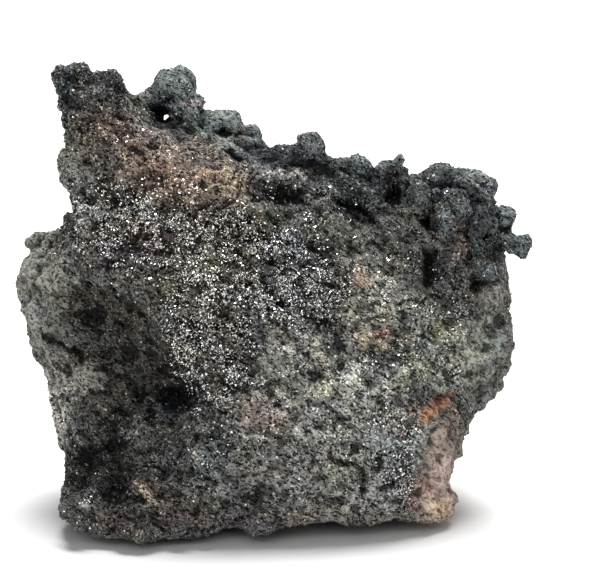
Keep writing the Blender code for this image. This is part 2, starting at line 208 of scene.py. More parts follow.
# the rock's form, level by level from the foot to the horn: how far up, how far behind the rear wall
# lies, and the broken face from its left edge to its right edge: how far across, and how far behind
levels = [
    (-3, 58, [-37, -34, -29, -20, -10, 2, 14, 24, 29], [16, 8, 4, 4, 7, 8, 11, 16, 22]),
    (2, 60, [-40.6, -37, -30, -20, -10, 2, 14, 26, 34], [14, 5, 1.2, 2.5, 5, 5.5, 8, 12, 18]),
    (6, 61, [-42.4, -39, -31, -20, -9, 3, 15, 28, 36.8], [14, 6, 2.4, 2, 3.5, 4, 6, 10, 19]),
    (14, 62, [-40.4, -37, -30, -18, -10, 3, 15, 27, 35.8], [20, 12, 10, 4.5, 2.5, 2.5, 4, 7.5, 19]),
    (22, 62, [-42.4, -38, -29, -19, -10, 3, 16, 29, 39.2], [23, 15, 12, 7.5, 1.5, 1.5, 3, 8, 22]),
    (30, 61, [-44.8, -39, -29, -19.5, -12, 3, 18, 33, 44.6], [26, 16, 14.5, 13.5, 1.5, 1.5, 4, 11.5, 27]),
    (38, 60, [-47.2, -41, -30, -22, -15, 3, 18, 34, 47], [28, 18, 15.5, 9.5, 2, 3, 6, 13.5, 28]),
    (46, 58, [-49.6, -44, -33, -27, -16, 2, 18, 34, 47.6], [31, 20, 15.5, 8.5, 3.5, 5, 8, 15.5, 29]),
    (52, 56, [-50.6, -46, -37, -31, -17, 2, 18, 34, 47.2], [34, 22, 14.5, 9, 5.5, 7, 10, 16.5, 29]),
    (57, 54, [-48.8, -44, -38, -30, -17, 2, 18, 34, 46], [36, 23, 14.5, 10.5, 8, 9.5, 12.5, 18, 29]),
    (61, 52, [-46.2, -41, -37, -29, -16, 2, 18, 34, 45.2], [37, 24, 16, 12.5, 10.5, 12, 15, 19, 29]),
    (64.5, 50, [-39, -38.4, -36, -28, -15, 2, 18, 34, 44], [32, 24, 17.5, 14, 12.5, 14, 17, 20, 29]),
    (70, 46, [-40.2, -39.6, -36, -28, -15, 0, 15, 28, 40.4], [31, 24, 18.5, 16, 15, 16, 19, 21, 28]),
    (74, 43, [-42.8, -42.2, -38, -30, -19, -8, 3, 12, 20], [31, 25.5, 20, 18, 17, 18, 19.5, 22, 28]),
    (77, 41, [-42.4, -41.8, -38, -31, -22, -13, -5, 3, 8], [31, 26, 20.5, 19, 18.5, 19.5, 21, 24, 29]),
    (80, 40, [-41.6, -41, -37.5, -32, -26, -21, -17.5, -15.5, -14.5],
         [32, 26, 21, 19.5, 19.5, 20, 22, 26, 31]),
    (85, 37, [-41.4, -41, -38, -35, -31.5, -28.5, -26, -24.8, -24],
         [31, 26.5, 22, 21, 21, 21.5, 23, 26, 30]),
    (89, 34, [-42.2, -41.8, -39.5, -37, -34.5, -32, -30, -29, -28.8],
         [29.5, 25.5, 22.5, 22, 22, 22.5, 24, 25.5, 28]),
    (92, 31, [-43, -42.4, -40.5, -38.5, -36.5, -34.5, -32.8, -31.4, -31],
         [28, 25.5, 24, 23, 23, 23, 24, 25.5, 27]),
]

# lava beads that show against the sky or on the broken face: across, up, behind, radius
beads = [
    # tips of the horn
    (-43, 92.6, 25, 1.4), (-42, 93.6, 25, 1.6), (-40.2, 93.8, 25, 1.9), (-38.2, 93.8, 25, 1.8),
    (-42.4, 90.2, 25, 1.4), (-41.4, 88.6, 26, 1.6), (-37.6, 94.6, 25, 1.2), (-34.6, 92.2, 25, 1.6),
    (-32.8, 91.8, 25, 1.6), (-31.2, 91.8, 25, 1.6), (-30.8, 90.4, 26, 1.4), (-30.4, 89.6, 26.5, 1.2),
    (-43.2, 91.4, 24.5, 1), (-35, 93, 24.5, 1), (-31.8, 92.6, 24.5, 1.1), (-41.8, 87.4, 26, 1.4),
    # tower, and the arm that joins it to the horn
    (-19.2, 91, 31, 3.8), (-20.3, 90.7, 31, 3.9), (-22.2, 90, 31, 2.4), (-23.8, 89.4, 31, 1.6),
    (-25.2, 88.4, 30, 1.3), (-26.8, 87.8, 29, 1.2), (-28.4, 87.4, 28.5, 1.2), (-16.6, 87, 31, 2.4),
    (-16.6, 84.6, 30, 2.6), (-17.2, 82, 29, 2.4), (-19, 86.6, 30, 2.4), (-18.2, 83.4, 31, 1.9),
    (-18.2, 86.2, 35, 3.2), (-25.6, 86.4, 37, 2.8), (-22.9, 86.6, 37, 2.3), (-25.4, 83.4, 36.5, 2.4),
    (-16, 81, 36, 4.2), (-10, 79.4, 36, 5), (-5.2, 77.2, 34, 4.4),
    # crust between the tower and the saddle
    (-13, 84, 31, 2), (-11.8, 82, 30, 2.2), (-9.4, 83.6, 31, 2.2), (-8.2, 82.4, 31, 2), (-6.6, 81, 31, 2),
    (-3.8, 81.8, 31, 1.9), (-6, 78.4, 27, 1.8), (-7.8, 77.8, 27, 1.4), (-9, 80, 30, 2),
    (-11.6, 79, 29, 2.2), (-14.6, 80, 28, 2), (-3.6, 78.8, 29, 2), (-2.2, 76.2, 27, 1.6),
    (-13.4, 85.4, 31, 1), (-11, 84.8, 31, 1.2),
    # crest
    (1.8, 76.8, 22, 2.2), (4.2, 77, 22, 2.2), (7.6, 79.2, 22, 2.5), (5.8, 76.4, 22, 2.2),
    (9.4, 76.8, 22, 1.7), (11.8, 75.4, 22, 1.8), (14.2, 75.2, 22, 1.8), (16.8, 75.2, 22, 3),
    (18.8, 73.8, 22, 1.8), (22.4, 72.6, 18.5, 1.1), (22.6, 71, 18.5, 1.1), (22.2, 69.4, 18.5, 1.2),
    (21.2, 73.4, 19, 1), (22.6, 74.4, 21, 1.6), (24.4, 75.6, 21, 1.8), (26.4, 71.2, 20, 1.8),
    (26, 72.8, 21, 1.3), (28.4, 72.4, 22, 1.4), (24.4, 70.2, 28, 2.6),
    # nodules in front of the cluster at the right
    (29, 69.4, 15.5, 2.5), (29.2, 68, 15.5, 2.2), (32.4, 68.8, 17, 1.4), (36.4, 68.4, 15.5, 2.6),
    (36.8, 66.4, 15.5, 2.3), (35, 66.8, 15.5, 1.8), (34.4, 63.6, 15, 1.8), (34.2, 62, 15.5, 1.4),
    # cluster at the right
    (32.6, 72.6, 24, 2.4), (34.6, 73.2, 25, 2.8), (37.2, 72.2, 25, 2.8), (39.4, 72, 25, 2.9),
    (41.6, 71, 25, 2.4), (42.6, 70.6, 24, 1.6), (41, 68.8, 22, 2), (38.4, 70.2, 20, 2.2),
    (42.2, 67.2, 24, 1.8), (44, 63.4, 25, 2), (41.2, 65.2, 21, 2.2), (46.4, 65.2, 26, 1.9),
    (46.6, 63.4, 26, 1.6), (43.4, 61, 24, 1.8), (40.8, 62.2, 20, 1.6), (42.8, 58.2, 24, 1.8),
    (40.6, 58.8, 20, 1.4), (43.2, 54, 22, 2), (41, 55.8, 20, 1.4),
    # finger that points right
    (46.2, 60.2, 26, 2), (47.6, 59.4, 26, 2.4), (49, 59, 26, 2.1), (50, 59.8, 26, 1.6),
    (49.2, 58, 26, 1.5),
    # crust hanging below the nodules
    (33.4, 59, 18, 1.4), (34.6, 57, 18, 1.5), (33.2, 55, 18, 1.2), (34.6, 53.2, 18, 1.3),
    (33.4, 51.2, 18, 1.2),
    # left shoulder
    (-40.4, 63.8, 33, 2.2), (-45.4, 59.6, 37, 2.4), (-47.4, 59.4, 38, 2.2), (-48.4, 55.8, 38, 2),
    (-49.6, 52.2, 38, 1.8),
    # under the front edge
    (-26.4, 2, 0.5, 2.6), (-2.4, 3.4, 5, 3), (-8.4, 4.6, 5, 1.8), (-38.8, 5, 6, 3.2), (-24.2, 1.4, 1, 1.6),
    (-29.8, 2.6, 1, 1.8), (-4.6, 2.6, 5, 1.6), (-13.6, 4.2, 3, 1.8), (-18.6, 3, 2, 1.6),
]

# hollows (height below zero) and swellings of the broken face: across, up, reach, height
faceFeatures = [
    # the recess on the left, and the ridge that overhangs it
    (-18.6, 28.8, 4.4, -5), (-26.6, 29.2, 2.6, -2.5), (-29.8, 43.2, 1.9, -2.2), (-37, 45.2, 3, -2.4),
    (-31.6, 9.2, 4, -3.5), (-37.6, 15.2, 4.2, -2.2), (-32.6, 19.2, 3.5, -2), (-28, 36, 5, -1.6),
    (-23.6, 44.2, 3, 1.3), (-17.6, 37.2, 3, 1.3), (-13.6, 30.2, 3, 1.3), (-36, 22.4, 3.4, 1.3),
    # under the crest: two sheltered hollows, and the gaps between the nodules
    (2, 69.2, 3, -2.8), (1.4, 73.8, 2.6, 1.5), (17, 65.6, 2.6, -2.4), (19.8, 63.8, 2, -1.8),
    (14.4, 67.2, 2.2, -2), (23.6, 69, 1.8, -4.5), (31.4, 63.6, 1.6, -3.5), (31, 56, 2.2, -2.8),
    (31.4, 52.2, 1.8, -2.5), (40.8, 51.4, 2.2, -2.2), (-10, 82, 1.5, -2.2), (-23, 85.2, 2.2, -4),
    # pits and lumps of the grey face
    (12.8, 39.2, 1.8, -1.4), (13.8, 35.2, 2, -0.9), (9.4, 43.8, 3, -1.4), (8.4, 33.2, 2, -1.3),
    (13.4, 16.2, 2.5, -1.6), (18, 12.2, 1.7, -2), (20.6, 16.2, 1.6, -1.6), (-4.6, 8.2, 5, -1.2),
    (-15.6, 17.2, 2.6, 1.2), (42.4, 48.2, 3, 1.2), (4, 38, 5, 1), (20, 24, 5, 1), (13, 69, 3.2, 1.4),
    (0, 58, 4, -0.9),
]

# arches under the rock, between its feet: x, y, reach, height
arches = [
    (-45, 7, 5, 3.4), (-8.5, 5, 3, 2.4), (9, 7.5, 6.5, 2.2), (24.5, 12, 5.5, 1.5), (14, 26, 10, 2.4),
    (-20, 26, 9, 2.2), (-4, 46, 10, 2.2), (30, 42, 8, 2),
]

# finer forms of the broken face: across, up, half width, half height, tilt, and depth or height;
# a hollow's sides are steep, a lump is round
hollows = [
    # in the crest and the tower
    (-22.4, 84.8, 1.8, 2.4, 15, 4.5), (-10, 81.6, 1.2, 1, 0, 2.4), (20.2, 72.2, 1.2, 1.6, 20, 2),
    (23.6, 70.2, 1.8, 3.2, 0, 3), (31.8, 63.6, 1.2, 1.8, -15, 2.4), (-8, 77, 1.8, 1, -25, 2.4),
    (-11.4, 82, 0.8, 0.8, 0, 1.2), (35.8, 66, 1.2, 0.8, -35, 1.1), (37.6, 68.6, 0.6, 1.2, 30, 0.8),
    (28, 68.2, 0.7, 1.2, 25, 0.8), (39.4, 69, 1.2, 1, 0, 1.5), (43.8, 65.6, 1, 1.2, 0, 1.8),
    (42, 61, 1, 1, 0, 1.5), (44.8, 59, 0.8, 1, 0, 1.2), (-21, 88.6, 1, 0.6, 30, 0.9),
    (-17.8, 89.8, 0.8, 0.6, 0, 0.6), (-17.4, 82.6, 1, 0.8, 0, 1), (-23.2, 91.4, 0.6, 0.6, 0, 0.7),
    # under the two ledges of the crest
    (2.2, 68.4, 2, 1.6, 0, 1.3), (5.4, 67.6, 2.4, 1, -10, 1.2), (-3.6, 69, 1.8, 1, -40, 1),
    (18, 65.4, 2.8, 1.6, -35, 1.3), (13.4, 67.6, 2, 1, -35, 1.8), (9, 69.2, 1.6, 1, 20, 1.2),
    # right wall
    (31, 55.8, 1.2, 3.2, -8, 1.6), (35.8, 51.2, 1.2, 1, 0, 1.2), (40.8, 51.2, 1.8, 1, 15, 2.2),
    (39.4, 55.8, 1, 0.8, 0, 0.9), (45.4, 43.8, 1, 1.4, 0, 1.2), (35.8, 43.8, 2, 1.2, 20, 1),
    (42.4, 38.4, 1, 0.8, 0, 1.6), (29.8, 41.2, 0.8, 0.8, 0, 1.6), (37.8, 33.2, 2.4, 0.6, 8, 0.9),
    (44, 31.6, 1.2, 1.6, -10, 1), (32.2, 22.2, 0.8, 0.8, 0, 1.4), (36.4, 38.2, 1, 0.8, 0, 0.8),
    # recess
    (-19.4, 28.2, 3.2, 2.4, -20, 2), (-26.6, 29.2, 1.8, 1, 10, 1.1), (-29.8, 43, 1, 1.4, 0, 1),
    (-37, 45, 2.6, 1, -5, 0.9), (-21.6, 33.8, 2, 1, -25, 0.9), (-33.6, 34.6, 1.6, 1.2, 0, 1),
    (-42.2, 34.6, 1.6, 0.8, -20, 0.9), (-34.6, 41.2, 2, 0.8, 10, 1), (-31, 25.8, 1.6, 0.8, 0, 0.8),
    (-38.6, 41.8, 1.4, 0.6, 0, 0.8), (-25, 25.2, 1, 1.6, 0, 1),
    # dark foot
    (-36.2, 15.8, 3, 2.4, 0, 1.4), (-32.6, 18.8, 2, 1.2, 0, 1.2), (-31, 9, 2.6, 1.8, 10, 1.6),
    (-26.6, 8.2, 1.6, 1, 0, 1.6), (-37.6, 11.2, 1.8, 1, 0, 1), (-35, 23.2, 1.4, 0.8, 0, 0.9),
    (-19.6, 9.8, 1.8, 1, 0, 0.9), (-8.6, 11.2, 1, 1.6, 0, 1.2), (-16.6, 13.6, 0.8, 1.2, -10, 0.9),
    (-40.2, 12.2, 0.8, 0.8, 0, 0.8),
    # grey face
    (12.8, 38.8, 1.2, 1.6, 0, 0.7), (13.6, 35, 1.8, 0.8, 35, 0.4), (9, 43.8, 3, 1.6, -10, 1.4),
    (8.4, 33, 1.6, 1.2, -20, 0.6), (17.8, 11.6, 1, 2.6, 0, 2.2), (21.2, 15.6, 1, 1.8, -15, 1.9),
    (14.4, 15.8, 2.4, 1, -10, 1.3), (19.4, 29, 0.6, 0.6, 0, 1.2), (5.4, 38.2, 0.8, 0.6, 0, 0.8),
    (9.8, 19.8, 0.8, 0.6, 0, 0.9), (11.4, 16.8, 0.8, 1.2, 0, 1.2), (16.4, 17.8, 0.8, 0.8, 0, 1),
    (23, 11.6, 1.4, 1.4, 0, 1.2), (-0.6, 8.8, 5.6, 1.8, 0, 1.3), (-9.6, 7.2, 1.6, 1.2, 0, 1),
    (12.4, 8.2, 3.6, 1, -5, 0.9), (23.8, 8.2, 2, 1, 0, 1), (6.4, 22.2, 1, 0.8, 0, 0.8),
    (0.8, 27.4, 0.8, 0.8, 0, 0.8), (-3.2, 22.2, 1.2, 0.8, 0, 0.7), (15.8, 23, 1.2, 0.8, 10, 0.8),
    (27.4, 27.8, 0.8, 1.2, 0, 0.8), (24.6, 39.2, 1, 0.6, 0, 0.7), (14.4, 46.2, 0.8, 0.8, 0, 0.8),
    (19.8, 47.6, 0.8, 0.6, 0, 0.7),
    # sparkling face
    (7.4, 58.6, 1.2, 1, 0, 1.2), (4.6, 57.8, 1, 0.8, 0, 0.9), (-13.6, 61.2, 1.4, 0.6, 30, 0.8),
    (-22.6, 57.2, 1.8, 0.8, -20, 0.7), (-6.6, 57.2, 1.8, 0.6, -25, 0.8), (-33.4, 60.2, 1.2, 0.6, 0, 0.6),
    (-31, 55.6, 1.2, 0.8, 0, 0.8), (-9.6, 45.2, 1.4, 0.6, -60, 0.7), (-18.6, 50.2, 1.2, 0.6, -40, 0.6),
    (-1.6, 51.2, 1.4, 0.6, -20, 0.8), (2.4, 53.2, 1, 0.8, 0, 0.7),
    # tan face
    (-21.8, 71, 1, 0.6, -30, 0.9), (-27.2, 78.6, 1.4, 0.5, -35, 0.9), (-35, 86.6, 1.6, 0.6, -30, 0.7),
    (-31, 84.6, 1.2, 0.6, -40, 0.7), (-18.6, 72.6, 0.8, 0.6, 0, 0.5), (-11.6, 69.8, 1, 0.6, 0, 0.5),
    (-13.6, 67.2, 0.8, 0.5, 0, 0.5), (-37, 75.6, 1, 0.6, 0, 0.5), (-30.6, 74.2, 1, 0.6, 0, 0.6),
]

lumps = [
    (43.8, 48.8, 3, 2.4, 0, 1.6), (18.4, 70.6, 4.8, 1.4, -30, 1.6), (1.6, 73.2, 4, 0.8, 4, 1.5),
    (45.4, 38.8, 1.4, 1.4, 0, 1.2), (34, 14.2, 2.4, 6, 0, 0.6), (-15.6, 17.2, 0.8, 1.6, -10, 0.9),
    (-13.6, 23.2, 4.4, 2, 15, 1.2), (-26, 38.2, 1, 4.4, -10, 0.9), (-37, 31.8, 2.8, 1.8, -10, 0.8),
    (-39.6, 5, 3.6, 2.8, -10, 1.2), (-29, 3.2, 2.4, 1.6, 0, 1), (-18.6, 4.2, 3.6, 1.4, 0, 0.8),
    (-12.2, 8.8, 0.8, 2.8, -5, 0.9), (-25.6, 9.8, 0.6, 2.8, 38, 0.7), (6.4, 72.2, 2.4, 1.8, 0, 0.9),
    (10.4, 71.6, 1.2, 2.4, -10, 0.8), (4.4, 61.8, 3.2, 1.8, -20, 0.8), (17.8, 51.6, 2.8, 2.4, 0, 0.8),
    (19.4, 41.2, 2.4, 1.6, 0, 0.7), (7.4, 29.2, 2.8, 2, 0, 0.6), (14.4, 31.2, 2.4, 1.6, 0, 0.7),
    (3.4, 25.2, 2.4, 1.8, 0, 0.5), (-2.6, 37.2, 2.8, 2, 0, 0.6), (26.4, 33.2, 2.8, 1.6, 25, 0.6),
    (36.4, 41.2, 2.8, 2, 0, 0.7), (31.8, 45.8, 2.4, 1.6, 15, 0.8), (25.4, 54.6, 3.2, 1.8, -30, 0.5),
    (15.4, 60.2, 2.8, 1.6, -25, 0.5), (24.4, 20.2, 2.8, 2, 0, 0.6), (27.4, 12.2, 2.8, 2.4, 0, 0.7),
    (31.4, 6.2, 2.4, 2, 0, 0.9), (9.4, 25.8, 2, 1.4, 0, 0.5), (-6.6, 20.2, 2.8, 1.8, 0, 0.6),
    (-42.6, 48.2, 2, 4.4, -15, 0.7), (-44.6, 43.8, 1.2, 2.8, -5, 0.6), (-39.6, 40.2, 1.8, 1, -25, 0.8),
    (-32.6, 28.2, 2.4, 1.2, 15, 0.7), (-31, 38.2, 2, 1.6, 0, 0.6), (-22.6, 20.2, 2.8, 1.6, 0, 0.7),
    (-21.6, 15.2, 2.4, 1.2, -15, 0.6), (-6.6, 28.2, 2.4, 1.6, -20, 0.6), (-41, 76.2, 1.4, 2.8, -5, 0.7),
    (-39.4, 63.2, 3.2, 2, 35, 0.7), (-8.2, 75.2, 2.4, 1.6, -25, 0.5), (-6.6, 70.6, 1.6, 1.4, 0, 0.6),
    (-35, 66.2, 2.4, 1.6, 30, 0.5),
]

# cracks: the way they run, half width, depth
cracks = [
    # round the knobs at the right
    ([(30.6, 71.6), (31.4, 69.8), (31.4, 67.4), (30.2, 66), (27.8, 65.8)], 0.5, 1.8),
    ([(27, 71), (26.6, 69), (27.2, 66.6)], 0.5, 1.6),
    ([(33.6, 70.8), (33.8, 68.8), (33.6, 66.8), (33, 65.2)], 0.5, 1.6),
    ([(33.4, 70.6), (34.8, 70.8), (36.4, 71.2), (38.4, 69.8), (39.6, 67.8), (42.6, 67.6)], 0.6, 2),
    ([(39.2, 66.2), (37.6, 64.4), (36.2, 63), (35.2, 61)], 0.6, 1.8),
    ([(32.2, 66.2), (32.2, 63.8), (33, 61.4), (34.2, 60.2)], 0.7, 2),
    ([(44.6, 66.8), (44.9, 63.7), (45.6, 62.4), (48, 62.4)], 0.5, 1.6),
    # round the knobs of the crest
    ([(14.5, 76.5), (16, 74.4), (17.6, 73.1), (20, 73.3)], 0.4, 1),
    ([(21.4, 73.3), (25.2, 72.9)], 0.5, 1.6), ([(19.1, 73), (19, 71.4), (20, 69.8)], 0.4, 1.2),
    # the branching crack below the tan face
    ([(-7.2, 75.2), (-7.4, 73.8), (-7.6, 72.4)], 0.3, 1),
    ([(-5.8, 71.8), (-6.6, 69.4), (-7.6, 67.6), (-10.2, 66.4), (-13, 64.8), (-13.8, 62.6)], 0.34, 1.5),
    # the fissure in the left wall
    ([(-45.8, 41), (-44.2, 40), (-42.2, 39.4), (-41, 38), (-39.6, 38.2), (-38.6, 37),
         (-37.8, 35.6)], 0.6, 2.6), ([(-45.8, 41), (-46.6, 42.2)], 0.35, 1),
    # where the sparkling face meets the crust
    ([(-6, 71.2), (-4.6, 69.8), (-2.2, 67.2), (-0.2, 64.8), (0.8, 62.2), (2, 59.2)], 0.4, 1.1),
    ([(-2.2, 73.8), (-4.2, 72.2), (-5.4, 71)], 0.5, 0.9),
    # right wall
    ([(26.8, 49), (26.4, 46.6), (26, 43.8)], 0.3, 1.1),
    ([(24.6, 47.4), (27.4, 48), (29.4, 47.6), (31.4, 49)], 0.4, 1.3),
    ([(16.6, 43.8), (20.4, 45), (23.8, 44.6)], 0.4, 0.9),
    ([(12.4, 42.2), (13, 38.2), (14.4, 34.2)], 0.7, 0.5),
    # grey face
    ([(12, 24), (14, 24.2), (15.8, 24.4)], 0.35, 1.1),
    ([(15.8, 17.8), (17.8, 18.8), (20.4, 17.8), (22.6, 19)], 0.4, 1),
    ([(13, 16.6), (15.4, 16.2), (17.4, 14.6)], 0.5, 1.2),
    # below the deep pit
    ([(-17.4, 25.6), (-15.2, 27.6), (-13.4, 27.8), (-11.6, 27.4), (-10.2, 26), (-8.8, 24.6)], 0.35, 1.2),
    ([(-24.6, 28.2), (-24.2, 25.8), (-24.6, 23.4)], 0.5, 1.2),
    # tan face
    ([(-31, 81.6), (-29, 79.6), (-27.8, 78.8), (-26.2, 77.6)], 0.35, 0.9),
    ([(-29, 88.4), (-26.2, 86.4), (-24.2, 83), (-21.6, 81.4)], 0.35, 0.5),
    # recess
    ([(-36.2, 37.8), (-34.6, 36.6)], 0.4, 1.2),
    ([(-37, 31.2), (-35.8, 29.8), (-33.8, 30.2), (-32.2, 29)], 0.35, 1),
    ([(-26.6, 46.2), (-25, 43.2), (-24.6, 41.2)], 0.4, 1),
    # behind the rim of the left wall
    ([(-41.8, 61.8), (-44.2, 59), (-46.2, 56), (-47.4, 52.2), (-48.8, 48.2)], 0.8, 1.4),
    # under the ledge
    ([(12.4, 69), (14.4, 67.2), (17.4, 66.2), (20.4, 63.4)], 0.5, 1.2),
    # left wall
    ([(-47, 48.2), (-45.8, 45.8), (-46.6, 42.2)], 0.4, 0.6),
    ([(-40.2, 51.2), (-38.6, 49.6), (-39.4, 48.2)], 0.4, 0.9),
    ([(-43.6, 29.2), (-42.2, 24.2), (-40.6, 19.2)], 0.5, 0.7),
    # bottom
    ([(-13.6, 13.2), (-12.2, 10.8), (-12, 6.6)], 0.35, 0.9),
]

# the ridge of the sparkling face that overhangs the recess, from the top down
ridge = {
    "line": [(-37.8, 55.8), (-35.6, 51.6), (-28.6, 49.6), (-24.6, 44.6), (-23, 39.2), (-17.6, 35.2),
             (-14, 30.6), (-11.8, 27.8)],
    "width": 0.8,
    "depth": 2.4,
    "fade": 9,
    "taper": (5, 0, 0),
}

form = {
    "ringSteps": 12,
    "levelSteps": 10,
    "rearPoints": 7,
    "rearRoundness": 0.55,
    "rearGathering": 0.06,  # how much the rear wall's points are drawn to its corners
    "underside": -0.3,
    "faceReach": (40, 8),  # how far behind the face's large forms end, and over how much they fade
    "detailReach": (46, 14),
    "frontEdge": (10, 8),
    "relief": [(1.3, 17, 1), (1, 7.5, 2), (0.8, 3.6, 3)],  # height, size of a bump, seed
    "rearRelief": 1.7,  # how much stronger the relief of the rear wall is
    "footRelief": (8, 0.3),  # below this height it weakens, to this share
    "undersideRelief": (3, 11, 5),
    "archReach": 8,
    "undersideReach": 6,
    "wander": [(0.7, 2.6, 0), (0.35, 1.1, 2)],  # how far the outlines of the finer forms stray
    "wanderSeed": 21,
    "crackTaper": (4, 0.4, 0.3),  # how fast a crack opens along its run, and how open its two ends are
    # the base that reaches the floor begins behind this line of (x, y): slope, height, pressed in
    "baseLine": [(-45, 24), (-38, 18), (-28, 14), (-14, 15), (-4, 19), (2, 26), (10, 31), (22, 33),
                 (34, 36), (45, 40)],
    "baseShape": (5, 7, 0.5),
    "nearZoom": 0.8,  # how much finer the front is meshed than the back
    "zoomReach": 45,  # and how far in it is
    "depthZoom": 1.2,
    "voxel": 0.62,
    "softening": 4,
    "triangles": 197000,
}

# crust behind the crest: how many beads, radii, how deep they sink, which levels, which part of the rear
crust = {
    "seed": 11,
    "settling": 0.7,
    "kinds": [
        (80, (3.2, 7.5), 0.62, (0.2, 0.98), (0.1, 1)),
        (150, (1.3, 2.6), 0.25, (0.2, 0.98), (0.1, 1)),
        (110, (1.6, 3.8), 0.5, (0.62, 0.92), (0, 0.3)),
    ],
    "ringSteps": 6,
    "levelSteps": 5,
    "crest": [
        (-43, 90), (-30, 90), (-28, 87), (-15, 88), (-12, 85), (-8, 85), (-4, 82.5), (-1, 77), (3, 79),
        (8, 81), (12, 77), (17, 77.5), (21, 74.5), (24, 76), (28, 73.5), (34, 75), (40, 75), (43, 72),
        (46, 66), (48, 58),
    ],
    "crestBegins": 64.5,
}


def ringOf(up, rear, across, behind):
    # left to right along the broken face and back again round the rear wall, whose depth is a sine
    # raised to the power of its roundness
    across, behind = np.array([across, behind], float)
    along = np.linspace(0, 1, form["rearPoints"] + 2)[1:-1]
    edge = behind[-1] + (behind[0] - behind[-1]) * along
    bulge = np.sin(math.pi * along) ** form["rearRoundness"]
    gathered = along - form["rearGathering"] * np.sin(2 * math.pi * along)
    across = np.concatenate([across, across[-1] + (across[0] - across[-1]) * gathered])
    behind = np.concatenate([behind, edge + (rear - edge) * bulge])
    return seen(across, np.full(len(across), float(up)), behind)


def bodyRings(levelSteps, ringSteps):
    rings = np.stack([ringOf(*level) for level in levels])
    rings = smoothThrough(rings, levelSteps, closed=False)
    return smoothThrough(rings.swapaxes(0, 1), ringSteps, closed=True).swapaxes(0, 1)


def withinOutline(across, up, radius):
    # whether a bead stays inside the rock's outline: between the levels' ends, and below the crest
    ups, lefts, rights = zip(*((level[0], level[2][0], level[2][-1]) for level in levels))
    for height in (up - radius, up, up + radius):
        if across - radius < np.interp(height, ups, lefts):
            return False
        if height < crust["crestBegins"] and across + radius > np.interp(height, ups, rights):
            return False
    sides = np.array([across - radius / 2, across, across + radius / 2])
    return bool((up + radius < np.interp(sides, *np.transpose(crust["crest"]))).all())


def crustBeads():
    # strewn over the rear wall, each sunk towards the middle of its level
    scatter = random.Random(crust["seed"])
    rings = bodyRings(crust["levelSteps"], crust["ringSteps"])
    rear = rings[:, len(rings[0]) // 2 :]
    found = []
    for count, radii, sink, levelSpan, placeSpan in crust["kinds"]:
        for _ in range(count):
            radius = scatter.uniform(*radii)
            level = int(len(rings) * scatter.uniform(*levelSpan))
            edge = rear[level][int((len(rear[0]) - 1) * scatter.uniform(*placeSpan))]
            inward = rings[level].mean(axis=0) - edge
            inward = inward / np.linalg.norm(inward) - [0, 0, crust["settling"]]
            place = edge + inward / np.linalg.norm(inward) * radius * sink
            across, up, _ = pictureOf(place[None])
            if withinOutline(across[0], up[0], radius):
                found.append((place, radius))
    return found


def unitBall(subdivisions):
    ball = bmesh.new()
    bmesh.ops.create_icosphere(ball, subdivisions=subdivisions, radius=1)
    mesh = bpy.data.meshes.new("ball")
    ball.to_mesh(mesh)
    ball.free()
    return readPoints(mesh), readTriangles(mesh)


def bodyMesh():
    # the rings joined into a skin, cut off level underneath
    rings = bodyRings(form["levelSteps"], form["ringSteps"])
    rows, around = rings.shape[:2]
    index = np.arange(rows * around).reshape(rows, around)
    turned = np.roll(index, -1, axis=1)
    walls = np.stack([index[:-1], turned[:-1], turned[1:], index[1:]], axis=-1).reshape(-1, 4)
    mesh = meshFrom("body", rings.reshape(-1, 3), walls)
    body = bmesh.new()
    body.from_mesh(mesh)
    body.verts.ensure_lookup_table()
    body.faces.new([body.verts[int(k)] for k in index[-1]])
    cut = bmesh.ops.bisect_plane(
        body,
        geom=body.verts[:] + body.edges[:] + body.faces[:],
        plane_co=(0, 0, form["underside"]),
        plane_no=(0, 0, -1),
        clear_outer=True,
    )
    rim = [edge for edge in cut["geom_cut"] if isinstance(edge, bmesh.types.BMEdge)]
    bmesh.ops.contextual_create(body, geom=rim)
    bmesh.ops.triangulate(body, faces=body.faces[:])
    body.to_mesh(mesh)
    body.free()
    return readPoints(mesh), readTriangles(mesh)


def zoomed(points, back=False):
    # nearer to the eye everything is drawn larger, so that one voxel size meshes the front more finely
    depth = points[:, 1] / (form["depthZoom"] if back else 1)
    zoom = 1 + form["nearZoom"] * fadeOut(depth, form["zoomReach"], form["zoomReach"]) ** 1.5
    scale = np.stack([zoom, np.full(len(points), form["depthZoom"]), zoom], axis=-1)
    return points / scale if back else points * scale


def meltedRock():
    # the body and every bead, remeshed together into one skin and softened
    points, faces = bodyMesh()
    ball, ballFaces = unitBall(3)
    places = [(seen(*place), radius) for *place, radius in beads] + crustBeads()
    centres = np.array([place for place, _ in places])
    radii = np.array([radius for _, radius in places])
    ballPoints = (centres[:, None] + radii[:, None, None] * ball).reshape(-1, 3)
    ballIndex = (np.arange(len(places)) * len(ball))[:, None, None] + ballFaces + len(points)
    points = np.concatenate([points, ballPoints])
    faces = np.concatenate([faces, ballIndex.reshape(-1, 3)])
    piece = addObject("rock.surface", meshFrom("rock.surface", zoomed(points), faces))
    remesh = piece.modifiers.new("melt", "REMESH")
    remesh.mode = "VOXEL"
    remesh.voxel_size = form["voxel"]
    smooth = piece.modifiers.new("soften", "SMOOTH")
    smooth.iterations = form["softening"]
    smooth.factor = 0.5
    bakeModifiers(piece)
    writePoints(piece.data, zoomed(readPoints(piece.data), back=True))
    return piece


def bell(aside, along, reach, rise):
    # rise * exp(-(distance / reach)^2)
    return rise * np.exp(-((np.hypot(aside, along) / reach) ** 2))


